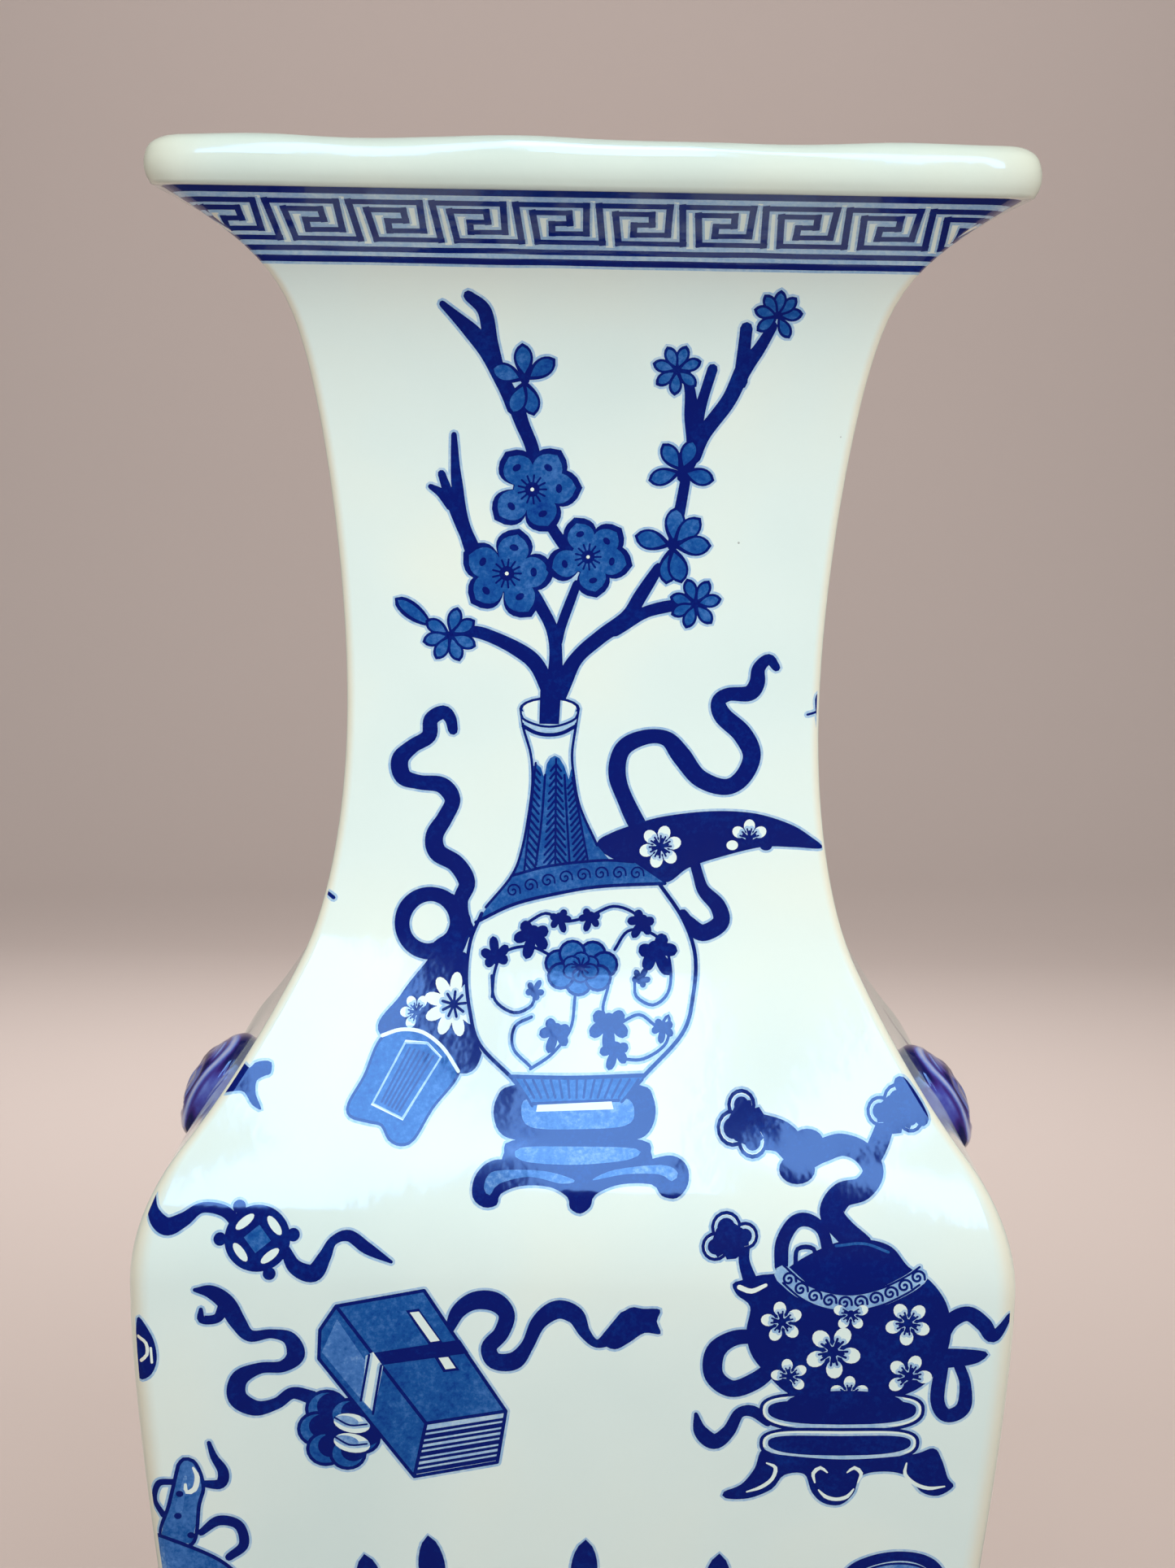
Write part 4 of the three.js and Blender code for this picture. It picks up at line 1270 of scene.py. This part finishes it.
def mask_relief(a, b):
    """Height share and cobalt of the beast mask: a across, b up, both -1 to 1."""
    reach = math.hypot(a, b)
    dome = math.sqrt(max(0.0, 1 - reach**2.4))
    side = abs(a)

    def hump(x, z, rx, rz):
        d = ((side - x) / rx) ** 2 + ((b - z) / rz) ** 2
        return math.exp(-d * 1.6)

    nose = hump(0, -0.12, 0.16, 0.3)
    brow = math.exp(-(((b - 0.34 + 0.9 * (side - 0.3) ** 2) / 0.1) ** 2)) * (side < 0.72)
    eye = hump(0.34, 0.12, 0.15, 0.11)
    cheek = hump(0.42, -0.3, 0.24, 0.2)
    mouth = math.exp(-(((b + 0.56 - 0.5 * side**2) / 0.07) ** 2)) * (side < 0.5)
    angle = math.atan2(a, b)
    strand = math.cos(30 * reach + 1.6 * math.sin(3 * angle)) * smoothstep(reach, 0.58, 0.68)
    height = dome * (1 + 0.1 * nose + 0.1 * brow + 0.09 * eye + 0.06 * cheek - 0.12 * mouth + 0.02 * strand)
    tone = 0.4 - 0.38 * strand + 0.6 * mouth + 0.55 * brow - 0.1 * nose
    tone += 0.5 * smoothstep(reach, 0.93, 0.99) + 0.7 * hump(0.34, 0.12, 0.07, 0.055)
    tone += 0.5 * (abs(reach - 0.66) < 0.035)
    return height, min(1.0, max(0.0, tone))


def mask_handle(name, node, sign):
    """A moulded mask that lies on the sloping shoulder of a side."""
    centre_arc = wall.at(HANDLE_Z, wall.arc)
    rings, spokes = 26, 84
    verts, tones = [], []

    def on_shoulder(a, b, rise):
        arc = centre_arc - b * HANDLE_LENGTH / 2
        w, z, nw, nz = (np.interp(arc, wall.arc, v) for v in (wall.w, wall.z, wall.nw, wall.nz))
        return (sign * (w + nw * rise) * MM, a * HANDLE_WIDTH / 2 * MM, (z + nz * rise) * MM)

    for i in range(rings + 1):
        share = math.sin(math.pi / 2 * i / rings)
        for k in range(spokes if i else 1):
            angle = 2 * math.pi * k / spokes
            a, b = share * math.sin(angle), share * math.cos(angle)
            rise, tone = mask_relief(a, b)
            verts.append(on_shoulder(a, b, HANDLE_RELIEF * rise))
            tones.append(tone)
    for k in range(spokes):
        angle = 2 * math.pi * k / spokes
        verts.append(on_shoulder(math.sin(angle), math.cos(angle), -HANDLE_SINK))
        tones.append(0.8)
    faces = [(0, 1 + k, 1 + (k + 1) % spokes) for k in range(spokes)]
    for i in range(1, rings + 1):
        start = 1 + (i - 1) * spokes
        for k in range(spokes):
            n = (k + 1) % spokes
            faces.append((start + k, start + spokes + k, start + spokes + n, start + n))
    faces.append(tuple(reversed(range(len(verts) - spokes, len(verts)))))
    if sign > 0:
        faces = [tuple(reversed(f)) for f in faces]
    finish_piece(name, verts, faces, (blue_glaze,), node, attributes=(("cobalt", tones),))


walls()
lip()
base()
mask_handle("handle_right", "mask_handle_right", 1)
mask_handle("handle_left", "mask_handle_left", -1)

# ---------------------------------------------------------------- floor, light and camera, in metres
BACKDROP, BACKDROP_TOP = 2.3, 3.0   # beyond every view's camera
COVE = 0.7
STAGE_REACH, FLOOR_FRONT, BEHIND = 3.4, 1.9, 0.3
SHOULDER = (0.0, -0.07, 0.27)
SKY, DAY, WARM = (0.22, 0.48, 1.0), (0.95, 1.0, 0.99), (1.0, 0.9, 0.74)
PITCH, ROLL = 6.89, 1.0
CAMERA_PLACE = (0.0012, -0.6565, 0.405)


def paper(name, line, glossy):
    """A strip of studio paper along a line of (y, z); only the backdrop is mirrored in the glaze."""
    verts = [(x, y, z) for y, z in line for x in (-STAGE_REACH, STAGE_REACH)]
    faces = [(2 * k, 2 * k + 1, 2 * k + 3, 2 * k + 2) for k in range(len(line) - 1)]
    sheet = new_object(name, verts, faces, (PAPER,))
    sheet.visible_glossy = glossy


def softbox(name, location, aim, width, height, watts, colour, mirrored=False, spread=180):
    """A light that is only mirrored in the glaze, or one that only lights it."""
    data = bpy.data.lights.new(name, "AREA")
    data.shape, data.size, data.size_y = "RECTANGLE", width, height
    data.energy, data.color, data.spread = watts, colour, math.radians(spread)
    lamp = bpy.data.objects.new(name, data)
    lamp.visible_diffuse, lamp.visible_glossy, lamp.visible_camera = not mirrored, mirrored, False
    lamp.location = location
    lamp.rotation_euler = (Vector(aim) - Vector(location)).to_track_quat("-Z", "Y").to_euler()
    bpy.context.collection.objects.link(lamp)


PAPER = paper_material("studio_paper", srgb(198, 180, 174), 0.9)
cove = [(BACKDROP - COVE + COVE * math.sin(a), COVE - COVE * math.cos(a))
        for a in np.linspace(0, math.pi / 2, 13)]
paper("studio_floor", [(-FLOOR_FRONT, 0.0), (-0.4, 0.0), (BEHIND, 0.0)], False)
paper("studio_backdrop", [(BEHIND, 0.0)] + cove + [(BACKDROP, BACKDROP_TOP)], True)

# each light's place, what it faces, its width and height, and its watts
for name, location, aim, width, height, watts in (
        ("window_left", (-0.137, -0.803, 1.544), SHOULDER, 0.165, 1.6, 9.7),
        ("window_middle", (0.011, -0.534, 1.665), SHOULDER, 0.132, 1.6, 7.7),
        ("window_right", (0.2, -0.90, 1.483), SHOULDER, 0.09, 1.6, 5.2)):
    softbox(name, location, aim, width, height, watts, SKY, mirrored=True)
for name, location, aim, width, height, watts, colour in (
        ("key_left", (-0.7, -1.2, 1.9), SHOULDER, 1.0, 1.0, 12.0, DAY),
        ("key_right", (0.7, -1.2, 1.9), SHOULDER, 1.0, 1.0, 15.0, DAY),
        ("front", (0.1, -0.85, 0.8), (0.0, -0.05, 0.38), 0.5, 0.4, 3.2, DAY),
        ("fill_left", (-1.2, 0.3, 0.8), SHOULDER, 0.6, 0.6, 5.0, WARM),
        ("fill_right", (1.2, 0.3, 0.8), SHOULDER, 0.6, 0.6, 6.0, WARM),
        ("backdrop", (0.0, 0.9, 1.3), (0.0, 2.3, 0.9), 2.0, 0.5, 13.0, DAY),
        ("back", (-0.1, 1.3, 0.9), (0.0, 0.0, 0.2), 0.8, 0.6, 10.0, DAY)):
    softbox(name, location, aim, width, height, watts, colour)
softbox("neck_grid", (0.08, -0.85, 0.55), (0.0, -0.05, 0.41), 0.3, 0.3, 0.12, DAY, spread=40)


def light_room():
    """A faint light from all round, with a paper coloured room past the paper's edge."""
    world = bpy.data.worlds.new("studio")
    bpy.context.scene.world = world
    world.use_nodes = True
    nodes, links = world.node_tree.nodes, world.node_tree.links
    ambient, room = nodes["Background"], nodes.new("ShaderNodeBackground")
    ambient.inputs["Color"].default_value = (0.86, 0.93, 0.95, 1)
    ambient.inputs["Strength"].default_value = 0.125
    room.inputs["Color"].default_value = srgb(176, 160, 153)
    either = nodes.new("ShaderNodeMixShader")
    links.new(nodes.new("ShaderNodeLightPath").outputs["Is Camera Ray"], either.inputs[0])
    links.new(ambient.outputs[0], either.inputs[1])
    links.new(room.outputs[0], either.inputs[2])
    links.new(either.outputs[0], nodes["World Output"].inputs["Surface"])


def place_camera():
    """The camera at the photograph's angle: in front, above the shoulder, rolled like the photo."""
    data = bpy.data.cameras.new("camera")
    data.sensor_width, data.lens = 36, 67.8
    camera = bpy.data.objects.new("camera", data)
    tilt = Matrix.Rotation(math.radians(90 - PITCH), 4, "X") @ Matrix.Rotation(math.radians(ROLL), 4, "Z")
    camera.matrix_world = Matrix.Translation(CAMERA_PLACE) @ tilt
    bpy.context.collection.objects.link(camera)
    bpy.context.scene.camera = camera


light_room()
place_camera()
bpy.context.scene.view_settings.view_transform = "Standard"
